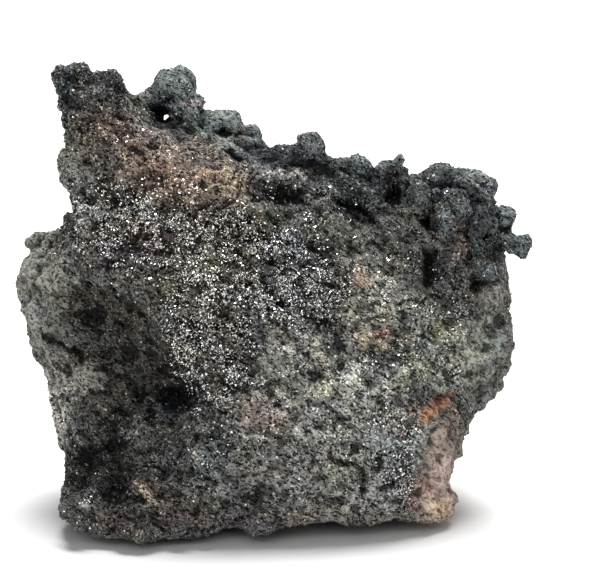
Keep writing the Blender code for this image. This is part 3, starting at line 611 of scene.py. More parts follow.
def sculpt(mesh):
    # the large forms: bells pushed along the line of sight, arches underneath, swells along the normal,
    # and the base let down to the floor
    points = readPoints(mesh)
    across, up, behind = pictureOf(points)
    inFront = fadeOut(behind, *form["faceReach"])
    height = sum(bell(across - x, up - y, reach, rise) for x, y, reach, rise in faceFeatures)
    points += towardsEye * (height * inFront)[:, None]
    for x, y, reach, rise in arches:
        lifted = bell(points[:, 0] - x, points[:, 1] - y, reach, rise)
        points[:, 2] += lifted * nearFloor(points, form["archReach"])
    edge, slope = form["frontEdge"]
    under = nearFloor(points, form["undersideReach"]) * np.clip((points[:, 1] - edge) / slope, 0, 1)
    rise, size, seed = form["undersideRelief"]
    points[:, 2] += rise * np.maximum(swell(points * [1, 1, 0], size, seed), 0) * under
    relief = swells(points, form["relief"])
    relief *= 1 + (form["rearRelief"] - 1) * (1 - inFront)
    calm, least = form["footRelief"]
    relief *= np.clip(points[:, 2] / calm, least, 1)
    points += readPoints(mesh, "normal") * relief[:, None]
    slope, reach, pressedIn = form["baseShape"]
    start = np.interp(points[:, 0], *np.transpose(form["baseLine"]))
    base = np.clip((points[:, 1] - start) / slope, 0, 1) * nearFloor(points, reach)
    points[:, 2] -= (layout["floorBelow"] + pressedIn) * base
    writePoints(mesh, points)


def ovalDistance(across, up, x, y, halfWidth, halfHeight, tilt):
    # 1 on the edge of a tilted oval, less inside it
    sine, cosine = math.sin(math.radians(tilt)), math.cos(math.radians(tilt))
    u, v = across - x, up - y
    return np.hypot((u * cosine + v * sine) / halfWidth, (v * cosine - u * sine) / halfHeight)


def wandered(points, across, up, layers, seed):
    # the place on the face, pushed about by swells, so that what is drawn there gets a ragged outline
    return across + swells(points, layers, seed), up + swells(points, layers, seed + 1)


def nearLine(across, up, line):
    # the distance to a line of straight stretches, -1 or 1 for its two sides, and how far along it
    best = np.full(len(across), np.inf)
    side = np.zeros(len(across))
    share = np.zeros(len(across))
    stretches = len(line) - 1
    for k in range(stretches):
        start, end = np.array(line[k], float), np.array(line[k + 1], float)
        run = end - start
        u, v = across - start[0], up - start[1]
        t = np.clip((u * run[0] + v * run[1]) / (run @ run), 0, 1)
        distance = np.hypot(u - t * run[0], v - t * run[1])
        closer = distance < best
        best = np.where(closer, distance, best)
        side = np.where(closer, np.sign(u * run[1] - v * run[0]), side)
        share = np.where(closer, (k + t) / stretches, share)
    return best, side, share


def tapered(share, steepness, start, end):
    # along a line: rises from its start's value and falls to its end's
    return np.clip(steepness * share + start, 0, 1) * np.clip(steepness * (1 - share) + end, 0, 1)


def carve(mesh):
    # the finer forms of the broken face, pushed along the line of sight: a hollow is exp(-distance^4) of
    # its oval, a lump exp(-1.4 distance^2), a crack exp(-(distance / width)^2), and below the ridge the
    # face steps back by exp(-distance / fade)
    points = readPoints(mesh)
    across, up, behind = pictureOf(points)
    inFront = fadeOut(behind, *form["detailReach"])
    across, up = wandered(points, across, up, form["wander"], form["wanderSeed"])
    height = np.zeros(len(points))
    for *oval, depth in hollows:
        height -= depth * np.exp(-(ovalDistance(across, up, *oval) ** 4))
    for *oval, rise in lumps:
        height += rise * np.exp(-1.4 * ovalDistance(across, up, *oval) ** 2)
    for line, width, depth in cracks:
        distance, _, share = nearLine(across, up, line)
        height -= depth * tapered(share, *form["crackTaper"]) * np.exp(-((distance / width) ** 2))
    distance, side, share = nearLine(across, up, ridge["line"])
    below = np.clip(0.5 + side * distance / ridge["width"], 0, 1)
    height -= ridge["depth"] * tapered(share, *ridge["taper"]) * below * np.exp(-distance / ridge["fade"])
    points += towardsEye * (height * inFront)[:, None]
    writePoints(mesh, points)


# what the broken surface is made of: grains sintered together, with pores and burst bubbles between them
texture = {
    "lumps": (0.5, 2.1, 31),  # height, size, seed
    "roughness": (0.3, 1, 32),
    "chips": (0.4, 1.5, 36),
    "grains": (0.24, 1, 33),
    "bubbles": (3.4, 0.3, 0.8, 0.3, 34),  # spacing, radius, depth, share of the places that hold one, seed
    "pores": (0.95, 0.42, 0.45, 0.3, 35),
    "bend": (0.5, 1.4, 37),
    "flow": np.array([0.86, -0.1, -0.5]),  # the way the lava ran
    "drawn": 0.55,  # how much it drew its lumps out
    "overFloor": (3, 0.25),  # below this height over the floor the texture weakens, to this share
}


def weather(mesh):
    # out along the normal by noise and by the domes of the grains, in by the bowls of burst bubbles and
    # pores: (1 - (distance / radius)^2)^0.7
    points = readPoints(mesh)
    normals = readPoints(mesh, "normal")
    run = texture["flow"]
    drawn = points - (points @ run)[:, None] * run * texture["drawn"]
    height = swells(drawn, [texture["lumps"], texture["roughness"]])
    rise, size, seed = texture["chips"]
    _, chance = nearestSeed(drawn, size, seed)
    height += rise * (chance - 0.5)
    rise, size, seed = texture["grains"]
    distance, chance = nearestSeed(points, size, seed)
    height += rise * (0.5 + chance) * (0.6 - np.minimum(distance, 1) ** 2)
    rise, size, seed = texture["bend"]
    bent = points + rise * drift(points, size, seed)
    for spacing, reach, depth, share, seed in (texture["bubbles"], texture["pores"]):
        distance, chance = nearestSeed(bent, spacing, seed)
        radius = reach * (0.6 + 0.8 * chance / share)
        bowl = np.clip(1 - (distance / radius) ** 2, 0, 1) ** 0.7
        height -= np.where(chance < share, depth * (0.5 + 0.8 * chance / share) * bowl, 0)
    calm, least = texture["overFloor"]
    height *= np.clip((points[:, 2] + layout["floorBelow"]) / calm, least, 1)
    points += normals * height[:, None]
    points[:, 2] = np.maximum(points[:, 2], -layout["floorBelow"])
    writePoints(mesh, points)


def thin(piece, most):
    modifier = piece.modifiers.new("thin", "DECIMATE")
    piece.data.calc_loop_triangles()
    modifier.ratio = min(1, most / len(piece.data.loop_triangles))
    modifier.use_collapse_triangulate = True
    bakeModifiers(piece)


# the colours that the lava, its ash and the gases have left on the broken face, and painted shade at some
# hollows, gaps and ledges, painted one over the other. Each region has its brightness, then across, up,
# half width, half height, tilt, colour, strength
colourZones = {
    "left wall": (1.62, [
        (-45.6, 48.2, 6.8, 14.8, 10, "#5a5952", 0.9), (-43, 28.2, 4, 12.8, -12, "#78766f", 0.9),
        (-41, 76.2, 3, 6.4, -5, "#51524b", 0.9), (-35.6, 64.8, 4.4, 3.2, 30, "#75736a", 0.9),
        (-40.2, 72.6, 2, 3.2, 0, "#5b5d58", 0.6), (-40.8, 63.8, 2.2, 2.4, 0, "#232827", 1),
        (-43.2, 45, 3, 4, 0, "#42433c", 0.8), (-42.8, 26.4, 1.8, 3.4, 0, "#8c8982", 0.8),
    ]),
    "horn": (1.12, [
        (-35.6, 87.2, 8, 7.2, -30, "#4a4947", 0.9), (-42.2, 91.4, 3, 3.6, 0, "#3f4546", 0.9),
        (-38.6, 94.6, 2.4, 1.2, 0, "#3c4042", 0.8), (-32.2, 91.8, 2.8, 2, 0, "#3e4040", 0.8),
        (-36.2, 82.6, 3.2, 3.2, 0, "#4c4b48", 0.7),
    ]),
    "tan face": (1.03, [
        (-21, 74.6, 17.6, 8.4, -22, "#75665a", 1), (-32.2, 81.8, 4.8, 2.6, -20, "#6d594f", 0.8),
        (-21.4, 72.2, 6.8, 3.4, -28, "#8b6c5a", 0.75), (-10.2, 72.2, 6, 3.4, -18, "#847360", 0.9),
        (-16.2, 67, 4.8, 2.6, -25, "#78685b", 0.8), (-18.2, 78.2, 6.8, 2, -25, "#756c60", 0.7),
        (-34.6, 76.2, 5.2, 3.2, -20, "#5f594f", 0.7), (-27.6, 73.8, 4, 2, -10, "#665b50", 0.6),
    ]),
    "tower and crust beside it": (1.5, [
        (-19.4, 88.6, 6, 7.6, -10, "#4a5152", 1), (-19, 92.2, 3.4, 2.4, 0, "#525a5a", 0.9),
        (-15.8, 87.6, 1.8, 1.6, 0, "#6c6467", 0.8), (-26.6, 87.4, 2.8, 1.4, -20, "#4a4b49", 0.9),
        # the darker spot at -22.2, 84.8 is painted shade in the tower's neck
        (-22.2, 84.8, 2.2, 2.4, 10, "#3f4141", 0.9), (-17.4, 83.2, 2.8, 2.4, 0, "#454645", 0.8),
        (-11.8, 83.4, 4.4, 3, -10, "#4d5453", 1), (-9.2, 84.8, 2.2, 1.8, -10, "#586060", 0.9),
        (-3.6, 81.8, 2.2, 2, 0, "#4c5355", 1), (-6, 78, 4.2, 2, -10, "#32363a", 1),
        (-10.6, 79.8, 4, 1.6, -20, "#5e5f5b", 0.8), (-2.2, 76.2, 2.4, 1.4, 0, "#43494b", 0.9),
    ]),
    "crest": (1.42, [
        (5.4, 76.6, 9.6, 3.2, -5, "#33373a", 1), (8, 79.4, 2.2, 2, 0, "#52595c", 0.9),
        (16.8, 75.4, 3.4, 2.6, -20, "#4c5456", 1), (13.4, 70.2, 9.6, 4.4, -25, "#3a3d3d", 1),
        # the near-black spots at 1.6, 69.8, at 17.4, 65.4 and at 23.6, 69.8 are painted shade under the
        # ledges and in the gap of the crest
        (2, 73.4, 4.8, 1.2, 3, "#77736a", 0.9), (1.6, 69.8, 5.2, 2.4, -8, "#2a2927", 0.95),
        (9, 69.8, 2.6, 2.4, 0, "#585851", 0.8), (17.4, 65.4, 4, 2.2, -32, "#171819", 0.9),
        (21, 71.8, 2.4, 2.6, 0, "#3c4244", 1), (24.6, 75.4, 2.6, 1.8, 30, "#4a5051", 1),
        (25.4, 71.2, 3.6, 3.6, 0, "#333739", 1), (23.6, 69.8, 1.8, 3.2, 0, "#1c1d1e", 0.9),
    ]),
    "nodules and cluster at the right": (0.98, [
        (36.4, 72.2, 8.4, 4, -10, "#4b5153", 1), (41, 72.8, 2.8, 1.8, -25, "#6c716f", 0.9),
        (42.2, 61.8, 5.6, 6.4, 0, "#3a3f41", 1), (29, 68.8, 2.6, 3, 0, "#434a4a", 1),
        (32.2, 69, 1.4, 1.8, 0, "#4b5153", 1), (36.6, 67.6, 2.8, 3.6, 0, "#4b504f", 1),
        # the near-black spots at 31.8, 63.6, at 31, 55.8 and at 41, 51.2 are painted shade in the gaps
        # between the nodules
        (34.2, 63, 1.8, 2.4, 0, "#586264", 1), (31.8, 63.6, 1.4, 1.8, 0, "#1e1f20", 0.9),
        (46.6, 65, 2.2, 2.2, 0, "#586062", 1), (48.4, 59.4, 3.4, 3, -20, "#505657", 1),
        (37.6, 59.6, 2.6, 3.6, 0, "#71645b", 0.95), (34, 55.8, 2.4, 5.6, -5, "#38393c", 0.95),
        (31, 55.8, 1.6, 4.4, -5, "#232425", 0.9), (43.2, 54, 2.8, 1.8, 0, "#545b5d", 0.9),
        (41, 51.2, 2, 1, 10, "#28272a", 0.9),
    ]),
    "right wall": (0.8, [
        (39.4, 47.2, 8, 4.4, 0, "#5d5a53", 0.95), (43.8, 49.4, 2.8, 2.4, 0, "#837f76", 0.9),
        (43.4, 34.2, 5.2, 8, 0, "#656761", 0.95), (45.4, 39.2, 2, 2, 0, "#54595a", 0.8),
    ]),
    "plane below the crest": (1.1, [
        (25, 60.6, 8, 5.6, -32, "#54554f", 1), (14.4, 60.6, 6.4, 3.2, -20, "#5a5a53", 0.9),
        (5.4, 63.2, 6, 2.4, -20, "#54544d", 0.7),
    ]),
    "pale beige area": (1.52, [
        (18.6, 49.4, 8.4, 6, -30, "#7b776b", 0.9), (17.8, 52.6, 2.2, 1.6, 0, "#8b725f", 0.8),
        (20.2, 40.6, 4.8, 2, -5, "#716753", 0.9), (22, 41.6, 1, 0.7, 0, "#784c42", 0.9),
        (13.4, 51.8, 2.4, 3.6, 0, "#6d6759", 0.7),
    ]),
    "greenish centre": (1.42, [
        (33.8, 38.6, 9.4, 8.4, 5, "#6e7064", 0.95), (34.2, 42.2, 3.2, 1.6, 0, "#7d7a61", 0.8),
        (26.4, 41, 1.8, 1.4, 20, "#7b775b", 0.8), (27.8, 33.8, 5.2, 2.8, 20, "#72735f", 0.7),
        (29.4, 39.2, 1.8, 1.2, 0, "#59625f", 0.6), (37.8, 45.8, 3.2, 1.6, 0, "#4d4a47", 0.7),
    ]),
    "grey face": (1.57, [
        (9.8, 27.8, 17.2, 11.6, 0, "#6b6b64", 1), (14.4, 31.8, 8, 3.6, 0, "#7a7a71", 0.8),
        (3.8, 24.2, 8.4, 4.4, 0, "#72706a", 0.8), (-2.2, 25.6, 4.4, 2.8, 0, "#77685f", 0.7),
        (5.4, 38.2, 6, 4, 0, "#6d6b64", 0.8), (9, 43.8, 4, 2, -10, "#4a4743", 0.9),
        (12.8, 38.2, 1.8, 4.4, 5, "#50514d", 0.9), (15.4, 19.8, 6.8, 2.8, 0, "#76776f", 0.7),
        (25.4, 20.2, 7.2, 6.8, 0, "#73746e", 0.8), (5.4, 14.2, 12, 3.6, 0, "#68665f", 0.9),
        (19.4, 9.8, 12, 4, 0, "#6c6963", 0.9), (15.8, 14.6, 6.8, 3.2, 20, "#64665d", 0.85),
        (17.8, 11.6, 1.2, 2.8, 0, "#333533", 0.5), (8.4, 33, 1.8, 1.4, -20, "#55534e", 0.7),
        (27.4, 13.2, 4.8, 6, 0, "#6c6e6a", 0.8),
    ]),
    "pink corner": (0.93, [
        (34.6, 20.2, 3.2, 8.8, -5, "#76675c", 0.9), (31, 9.2, 5.6, 6, 20, "#8a7368", 0.9),
        (33.4, 15.2, 3.2, 3.2, 0, "#927d74", 0.8), (32.8, 6.6, 3.4, 2.6, 15, "#a78e70", 0.95),
        (30.2, 11.8, 2.2, 1.6, 0, "#97766a", 0.8),
    ]),
    "rust": (0.64, [
        (32.6, 26.8, 4.4, 1.5, 38, "#9a6547", 0.9), (33.8, 28.6, 1.8, 1, 30, "#763a31", 0.9),
        (30.4, 24.8, 1.6, 0.9, 45, "#b07a50", 0.9), (25, 21.2, 0.8, 0.6, 30, "#8e4f42", 0.9),
        (27.8, 25.8, 1.2, 0.8, 45, "#7e4c40", 0.7),
    ]),
    "sparkling face": (0.95, [
        (-12.6, 55.8, 25.6, 10.4, -16, "#524d40", 0.95), (-24, 60, 5, 3.4, -25, "#6a5850", 0.7),
        (-12, 54.6, 4, 3.2, -30, "#63604c", 0.7), (-11.8, 40.2, 8.4, 12.4, 10, "#504d44", 0.95),
        (4.4, 53.2, 8.8, 8, -20, "#4b4d4a", 0.9), (-29, 55.8, 7.2, 3.6, -15, "#4b4347", 0.8),
        (-21.8, 60.2, 2.4, 1.6, 0, "#5b4d4e", 0.7), (-13.6, 63.4, 4.4, 1.6, -20, "#6c614d", 0.7),
        (-24.6, 52.6, 5.6, 2, -25, "#5c5848", 0.7), (3.8, 59, 2.2, 1.8, 0, "#5d6069", 0.7),
        (-18, 42.2, 2.4, 2, 0, "#51464a", 0.6), (-36.2, 64.8, 3.2, 2.2, 20, "#93938a", 0.8),
        (-3.6, 67.2, 1.8, 4, 35, "#6f6a5a", 0.7),
    ]),
    # in the recess, the darker spots at -18.6, 28.6, at -26.6, 29.2, at -20.6, 33.8, at -36.6, 45 and at
    # -29.8, 43 are painted shade in its hollows
    "recess": (0.65, [
        (-31, 36.6, 10.8, 12, 0, "#4e4b43", 0.95), (-32.6, 46.6, 8.4, 2.8, -15, "#544d3c", 0.9),
        (-38.2, 31.6, 3.2, 2, -10, "#706c62", 0.9), (-36.6, 27.2, 6.4, 2.4, -5, "#5b574f", 0.8),
        (-42.6, 38.2, 2.8, 3.6, 0, "#615e56", 0.7), (-18.6, 28.6, 4.8, 5.4, -20, "#44484a", 1),
        (-20.2, 26.8, 2.2, 3, 0, "#4a545a", 0.8), (-17.8, 38.6, 4.4, 1.2, -38, "#625640", 0.7),
        (-26.6, 29.2, 2.6, 1.6, 0, "#3f3e3a", 0.9), (-20.6, 33.8, 4, 2.4, -25, "#45413a", 0.9),
        (-36.6, 45, 3.2, 1.2, 0, "#3e3c36", 0.9), (-29.8, 43, 1.4, 1.6, 0, "#3f3d38", 0.9),
        (-33, 23.2, 5.2, 2.8, 0, "#48463f", 0.8), (-37.2, 32.4, 3.2, 3.2, 0, "#938e83", 0.85),
    ]),
    "dark foot": (1.1, [
        (-34.2, 14.6, 9.2, 6.4, 0, "#2e2e2c", 1), (-30.2, 8.8, 4.4, 2.2, 10, "#333332", 0.9),
        (-39.6, 5.2, 4.2, 3.4, -10, "#454842", 0.95), (-28.2, 4, 7.2, 2.8, 0, "#463d3b", 0.95),
        (-18.2, 5, 6.4, 2.4, 0, "#564c49", 0.9), (-24.6, 10.6, 4.8, 2, -30, "#5b4f49", 0.8),
        (-25.4, 9.8, 0.6, 3, 38, "#998b7d", 0.8), (-37.6, 7.8, 1.8, 0.6, 0, "#8c8c88", 0.5),
    ]),
    "bottom left": (0.8, [
        (-17, 20.2, 8.8, 4.4, 0, "#5f5f59", 0.9), (-12.6, 16, 4, 4.4, 0, "#656b6c", 0.8),
        (-15.8, 17.6, 0.9, 1.6, -10, "#a09d94", 0.9), (-11.8, 10, 1.2, 3.4, -5, "#8a8a7e", 0.8),
        (-13.4, 24, 4.8, 2.2, 15, "#6c6c66", 0.8),
    ]),
    "bottom middle": (2.65, [
        (-0.6, 9.8, 10.8, 2.8, 0, "#4e4d49", 0.9), (-5.6, 9.6, 3.2, 1.8, 0, "#393937", 0.8),
        (-5.6, 3.6, 6.8, 2, 0, "#403a39", 1), (13.4, 5, 12.8, 1.6, 0, "#575149", 0.8),
    ]),
}

# where the face glitters: across, up, half width, half height, tilt, how thickly the crystals sit
sparkleZones = [
    (-26.6, 62.6, 13.2, 8, -10, 0.85), (-7.6, 55.8, 20.8, 8.8, -16, 1), (-12.2, 40.2, 8, 12, 12, 0.95),
    (5.4, 48.6, 8.4, 6, -20, 0.55), (-18.6, 75.2, 12, 4.4, -22, 0.05), (-34.6, 69.2, 6, 4.8, -20, 0.25),
    (-16.6, 68.6, 10, 3.2, -22, 0.14), (19.8, 35, 4.4, 1.8, 15, 0.4), (26.4, 16.2, 5.2, 8, 0, 0.4),
    (25, 10.6, 2.4, 2, 0, 0.7), (27.8, 38.6, 4, 2.8, 0, 0.35), (21.6, 25, 2.4, 3, -30, 0.3),
    (35.4, 40.2, 8, 8, 0, 0.12), (-37.8, 7.8, 1.8, 0.6, 0, 0.9), (-13.6, 20.2, 6, 12, 0, 0.07),
    (5.4, 66.2, 12, 6, -10, 0.1), (27.4, 48.2, 10, 10, 0, 0.05), (9.4, 26.2, 18, 14, 0, 0.04),
]

# where the surface is smoother, its grains small and alike: the baked corner at the right, the walls and
# the knobs; below zero where it is rougher. across, up, half width, half height, tilt, by how much
smootherZones = [
    (33.2, 13.6, 4.8, 11.4, -5, 0.75), (32.6, 26.8, 4.4, 2, 38, 0.6), (43, 38, 5, 12, 0, 0.5),
    (-46, 48, 4, 14, 10, 0.45), (-32, 36, 10, 9, 0, 0.25), (-19, 89, 6, 7, -10, 0.1),
    (-8, 81.6, 9, 4, -22, 0.2), (8, 78.6, 3.4, 3, 0, 0.1), (18, 75.4, 4, 2.6, -15, 0.1),
    (24, 75, 3.4, 3.4, 30, 0.1), (37, 67, 11, 8, -10, 0.1), (47.4, 61.6, 4.4, 6, -15, 0.1),
    (-37, 88, 10, 9, -20, -0.5), (14, 71, 9, 4.4, -20, -0.3),
]

rockColours = {
    "face": "#5c5c57",
    "crust": ["#33383b", "#474d4f", "#292c2e"],  # the blue-black outer skin, seen from behind and above
    "broken": "#4c4b47",
    "lowRear": (40, 25, 0.8),  # below this height the rear is broken too: height, fade, most
    "faceReach": (44, 10),
    "raggedness": ([(1.3, 5, 0), (0.7, 1.9, 2)], 41),
    "frayedRims": [(0.3, 0.9, 43), (0.3, 2.4, 44)],
    "crustTones": [(1, 9, 45), (0.6, 3, 46)],
    "crustContrast": 1.5,
    "vividness": 0.75,
    "warmth": (0.07, [(1, 6, 47), (0.8, 2.2, 48)]),  # patches of slightly warmer and cooler stone
    "warmer": [1, 0.25, -1],
    "shade": (0.15, [(1, 4.5, 49), (0.8, 1.8, 50)]),  # and of paler and darker stone
    "lift": 2.15,  # from the look under the lamps to the stone's own reflectance
    # how much more the grains differ in brightness where the stone is dark: its brightness, and the power
    "contrast": ((0.06, 0.3), (1.9, 1.15)),
    "smoothest": 0.8,
    "roughest": -0.6,
}

glitterLook = {
    "everywhere": 0.008,
    "raggedness": ([(2.2, 5, 0), (1.2, 2, 0)], 51),
    "clumps": ([(1.8, 3.6, 53), (1.1, 1.5, 54)], 0.75, (0.05, 1.8)),  # swells, mean, least and most
    "faceReach": (42, 6),
}

# where a zone ends, in half widths from its middle, and over how much it fades
zoneRim = (1.35, 0.7)

# hollows and knobs at two scales: rounds of smoothing, how deep counts as fully hollow, share
hollowScales = [(3, 0.12, 0.3), (40, 0.6, 0.7)]


def linear(code):
    # sRGB hex to linear light
    part = np.array([int(code[k : k + 2], 16) for k in (1, 3, 5)]) / 255
    return np.where(part <= 0.04045, part / 12.92, ((part + 0.055) / 1.055) ** 2.4)


def greyOf(colours):
    return colours @ [0.21, 0.72, 0.07]


def zoneShare(across, up, oval, frayed=0):
    # 1 inside the oval, 0 outside, and 3t^2 - 2t^3 over its rim, which can be frayed grain by grain
    share = fadeOut(ovalDistance(across, up, *oval) + frayed, *zoneRim)
    return share * share * (3 - 2 * share)


def stoneColour(points):
    # the rear gets the crust's three tones by noise, the front its zones, with ragged borders
    across, up, behind = pictureOf(points)
    across, up = wandered(points, across, up, *rockColours["raggedness"])
    frayed = swells(points, rockColours["frayedRims"])
    tone = swells(points, rockColours["crustTones"]) * rockColours["crustContrast"]
    dark, pale, black = (linear(code) for code in rockColours["crust"])
    rear = dark + (pale - dark) * np.clip(tone, 0, 1)[:, None]
    rear += (black - rear) * np.clip(-tone, 0, 1)[:, None]
    height, fade, most = rockColours["lowRear"]
    rear += (linear(rockColours["broken"]) - rear) * (fadeOut(points[:, 2], height, fade) * most)[:, None]
    face = np.tile(linear(rockColours["face"]), (len(points), 1))
    for brightness, zones in colourZones.values():
        for *oval, code, strength in zones:
            share = strength * zoneShare(across, up, oval, frayed)
            face += (linear(code) * brightness - face) * share[:, None]
    colour = rear + (face - rear) * fadeOut(behind, *rockColours["faceReach"])[:, None]
    grey = greyOf(colour)[:, None]
    colour = grey + (colour - grey) * rockColours["vividness"]
    warmth, shade = (amount * swells(points, layers)[:, None] for amount, layers in
                     (rockColours["warmth"], rockColours["shade"]))
    colour *= (1 + shade) * (1 + warmth * rockColours["warmer"])
    return colour * rockColours["lift"]


def smoothness(points):
    across, up, _ = pictureOf(points)
    total = sum(amount * zoneShare(across, up, oval) for *oval, amount in smootherZones)
    return np.clip(total, rockColours["roughest"], rockColours["smoothest"])


def contrastAt(points, colours):
    return np.interp(greyOf(colours), *rockColours["contrast"]) * (1 - smoothness(points))


def glitter(points):
    # how thickly the crystals sit: the densest zone there, times clumps
    across, up, behind = pictureOf(points)
    across, up = wandered(points, across, up, *glitterLook["raggedness"])
    density = np.full(len(points), glitterLook["everywhere"])
    for *oval, amount in sparkleZones:
        density = np.maximum(density, amount * zoneShare(across, up, oval))
    layers, mean, limits = glitterLook["clumps"]
    clumps = np.clip(swells(points, layers, base=mean), *limits)
    return density * clumps * fadeOut(behind, *glitterLook["faceReach"])


def hollowness(mesh, rounds):
    # how far each point lies below the surface smoothed by moving every point halfway to its neighbours'
    # mean, round after round
    points = readPoints(mesh)
    ends = np.empty(len(mesh.edges) * 2, np.int32)
    mesh.edges.foreach_get("vertices", ends)
    one, other = ends.reshape(-1, 2).T
    ends = np.concatenate([one, other])
    others = np.concatenate([other, one])
    neighbours = np.bincount(ends, minlength=len(points))[:, None]
    smooth = points
    for _ in range(rounds):
        total = [np.bincount(ends, smooth[others, k], len(points)) for k in range(3)]
        smooth = 0.5 * smooth + 0.5 * np.stack(total, axis=-1) / neighbours
    return ((smooth - points) * readPoints(mesh, "normal")).sum(axis=1)


def pittedness(mesh):
    # from -1 on a knob to 1 in a pit
    return sum(
        np.clip(hollowness(mesh, rounds) / deep, -1, 1) * share for rounds, deep, share in hollowScales
    )


def setNumber(mesh, name, numbers):
    layer = mesh.attributes.new(name, "FLOAT", "POINT")
    layer.data.foreach_set("value", numbers.astype(np.float32))


def setColour(mesh, name, colours):
    layer = mesh.attributes.new(name, "FLOAT_COLOR", "POINT")
    values = np.concatenate([colours, np.ones((len(colours), 1))], axis=1)
    layer.data.foreach_set("color", values.astype(np.float32).ravel())


# grains of basalt and crystals of specular hematite that sit on the surface, in millimetres
strewn = {
    "grains": {
        "count": 44000, "pieces": 4, "radius": (0.12, 0.52), "width": (0.35, 0.85), "squash": (0.6, 1),
        "sunk": 0.2, "aligned": 0.4, "scatter": 0.45, "jitter": 0.35, "offHollows": (0.75, 0.1, 1),
        "seed": 61,
    },
    "crystals": {
        "count": 36000, "pieces": 2, "radius": (0.13, 0.34), "width": (0.7, 1), "squash": (0.5, 0.9),
        "sunk": 0, "aligned": 0, "scatter": 1, "jitter": 0.15, "offHollows": (0.9, 0.1, 1.5),
        "seed": 71,
    },
    "smallOnes": 2.5,  # the higher, the more of the lumps are small
    "flowDrift": (0.9, 13, 64),  # how the lava's run wanders: how far, over what distance, seed
    "laidFlat": 0.75,
    "grainsOnFace": (46, 12, 0.28),  # grains thin out to this share behind the face
    "grainsAmongCrystals": 0.4,  # how much fewer they are where it glitters
}

# the grains' brightness beside the stone's: from the darkest to the palest, more dark ones with a larger
# skew, and how much darker they are among the crystals
strewnTint = {
    "darkest": 0.03, "palest": 1.5, "skew": 1.25, "underGlitter": 0.85,
    "ash": (0.2, 0.6, "#8e8f8a"),  # one grain in five turns this much towards this, where the stone is dark
    "paintedLightFromAbove": ((-0.6, 0.1, 0.9), (0.8, 1, 1.3)),  # painted light from above: paler on what faces up, darker on what faces down
    "paintedKnobLightAndPitShade": ((-0.7, -0.2, 0.3, 0.8), (1.3, 1.1, 0.7, 0.38)),  # painted shade and light: darker in pits, paler on knobs, from knob to pit
    "polish": ((0, 0.4, 0.42, 1), (0.01, 0.02, 0.6, 1)),  # two in five crystals are dull
    "stain": 0.3,  # how much of the stone's hue they take on
}


def unit(vectors):
    return vectors / np.linalg.norm(vectors, axis=1, keepdims=True)


def strewOver(mesh, count, weight, pitted, dice):
    # triangles drawn by area times weight, and an even random place in each, with how hollow it is there
    points, normals, faces = readPoints(mesh), readPoints(mesh, "normal"), readTriangles(mesh)
    edges = points[faces[:, 1:]] - points[faces[:, :1]]
    area = np.linalg.norm(np.cross(edges[:, 0], edges[:, 1]), axis=1)
    chance = area * weight[faces].mean(axis=1)
    chosen = faces[dice.choice(len(faces), count, p=chance / chance.sum())]
    parts = dice.dirichlet((1, 1, 1), count)[:, :, None]
    place = (points[chosen] * parts).sum(axis=1)
    normal = (normals[chosen] * parts).sum(axis=1)
    return place, unit(normal), (pitted[chosen] * parts[:, :, 0]).sum(axis=1)


def turnsAlongFlow(place, normal, kind, dice):
    # each long axis is random, pulled towards the wandering way the lava ran there and laid on the
    # surface; the turn about it is random
    wander, size, seed = strewn["flowDrift"]
    run = texture["flow"] + wander * drift(place, size, seed)
    long = unit(dice.normal(0, kind["scatter"], place.shape) + kind["aligned"] * run)
    upright = (long * normal).sum(axis=1, keepdims=True)
    long = unit(long - strewn["laidFlat"] * kind["aligned"] * upright * normal)
    wide = unit(np.cross(long, dice.normal(size=place.shape)))
    return np.stack([long, wide, np.cross(long, wide)], axis=2)


def splinterShape():
    # a four-sided splinter: every other corner of a cube
    points = np.array([[1, 1, 1], [1, -1, -1], [-1, 1, -1], [-1, -1, 1]]) / math.sqrt(3) * 1.2
    return points, np.array([[0, 1, 2], [0, 3, 1], [0, 2, 3], [1, 3, 2]])


def lumpsOn(mesh, kind, weight, pitted):
    # every lump is a splinter, its corners pushed about, squashed, turned at random and partly sunk
    dice = np.random.default_rng(kind["seed"])
    shape, faces = splinterShape()
    total = kind["count"] * kind["pieces"]
    place, normal, pit = strewOver(mesh, total, weight, pitted, dice)
    smallest, largest = kind["radius"]
    radius = smallest + (largest - smallest) * dice.random(total) ** strewn["smallOnes"]
    radius *= 1 - np.maximum(smoothness(place), 0)
    width = dice.uniform(*kind["width"], total)
    thick = width * dice.uniform(*kind["squash"], total)
    corners = shape[None] * (1 + kind["jitter"] * dice.uniform(-1, 1, (total, len(shape), 1)))
    corners = corners * np.stack([np.ones(total), width, thick], axis=1)[:, None]
    turn = turnsAlongFlow(place, normal, kind, dice)
    corners = np.einsum("nij,nkj->nki", turn, corners) * radius[:, None, None]
    corners += (place - normal * (radius * width * kind["sunk"])[:, None])[:, None]
    corners[:, :, 2] = np.maximum(corners[:, :, 2], -layout["floorBelow"])
    return place, normal, pit, corners, faces, dice


def piecesOf(name, corners, faces, attribute, colours):
    # the lumps of one kind as a few objects, each lump in its own colour
    each = strewn[name]["count"]
    pieces = []
    for k in range(strewn[name]["pieces"]):
        part = slice(k * each, (k + 1) * each)
        index = (np.arange(each) * corners.shape[1])[:, None, None] + faces
        mesh = meshFrom(f"{name}.{k}", toMetres(corners[part].reshape(-1, 3)), index.reshape(-1, 3))
        setColour(mesh, attribute, np.repeat(colours[part], corners.shape[1], axis=0))
        pieces.append(addObject(f"{name}.{k}", mesh))
    print(name, "strewn:", each * len(pieces))
    return pieces


def offHollows(kind, pitted):
    # fewer lumps where it is hollow
    level, least, most = kind["offHollows"]
    return np.clip(level - pitted, least, most)


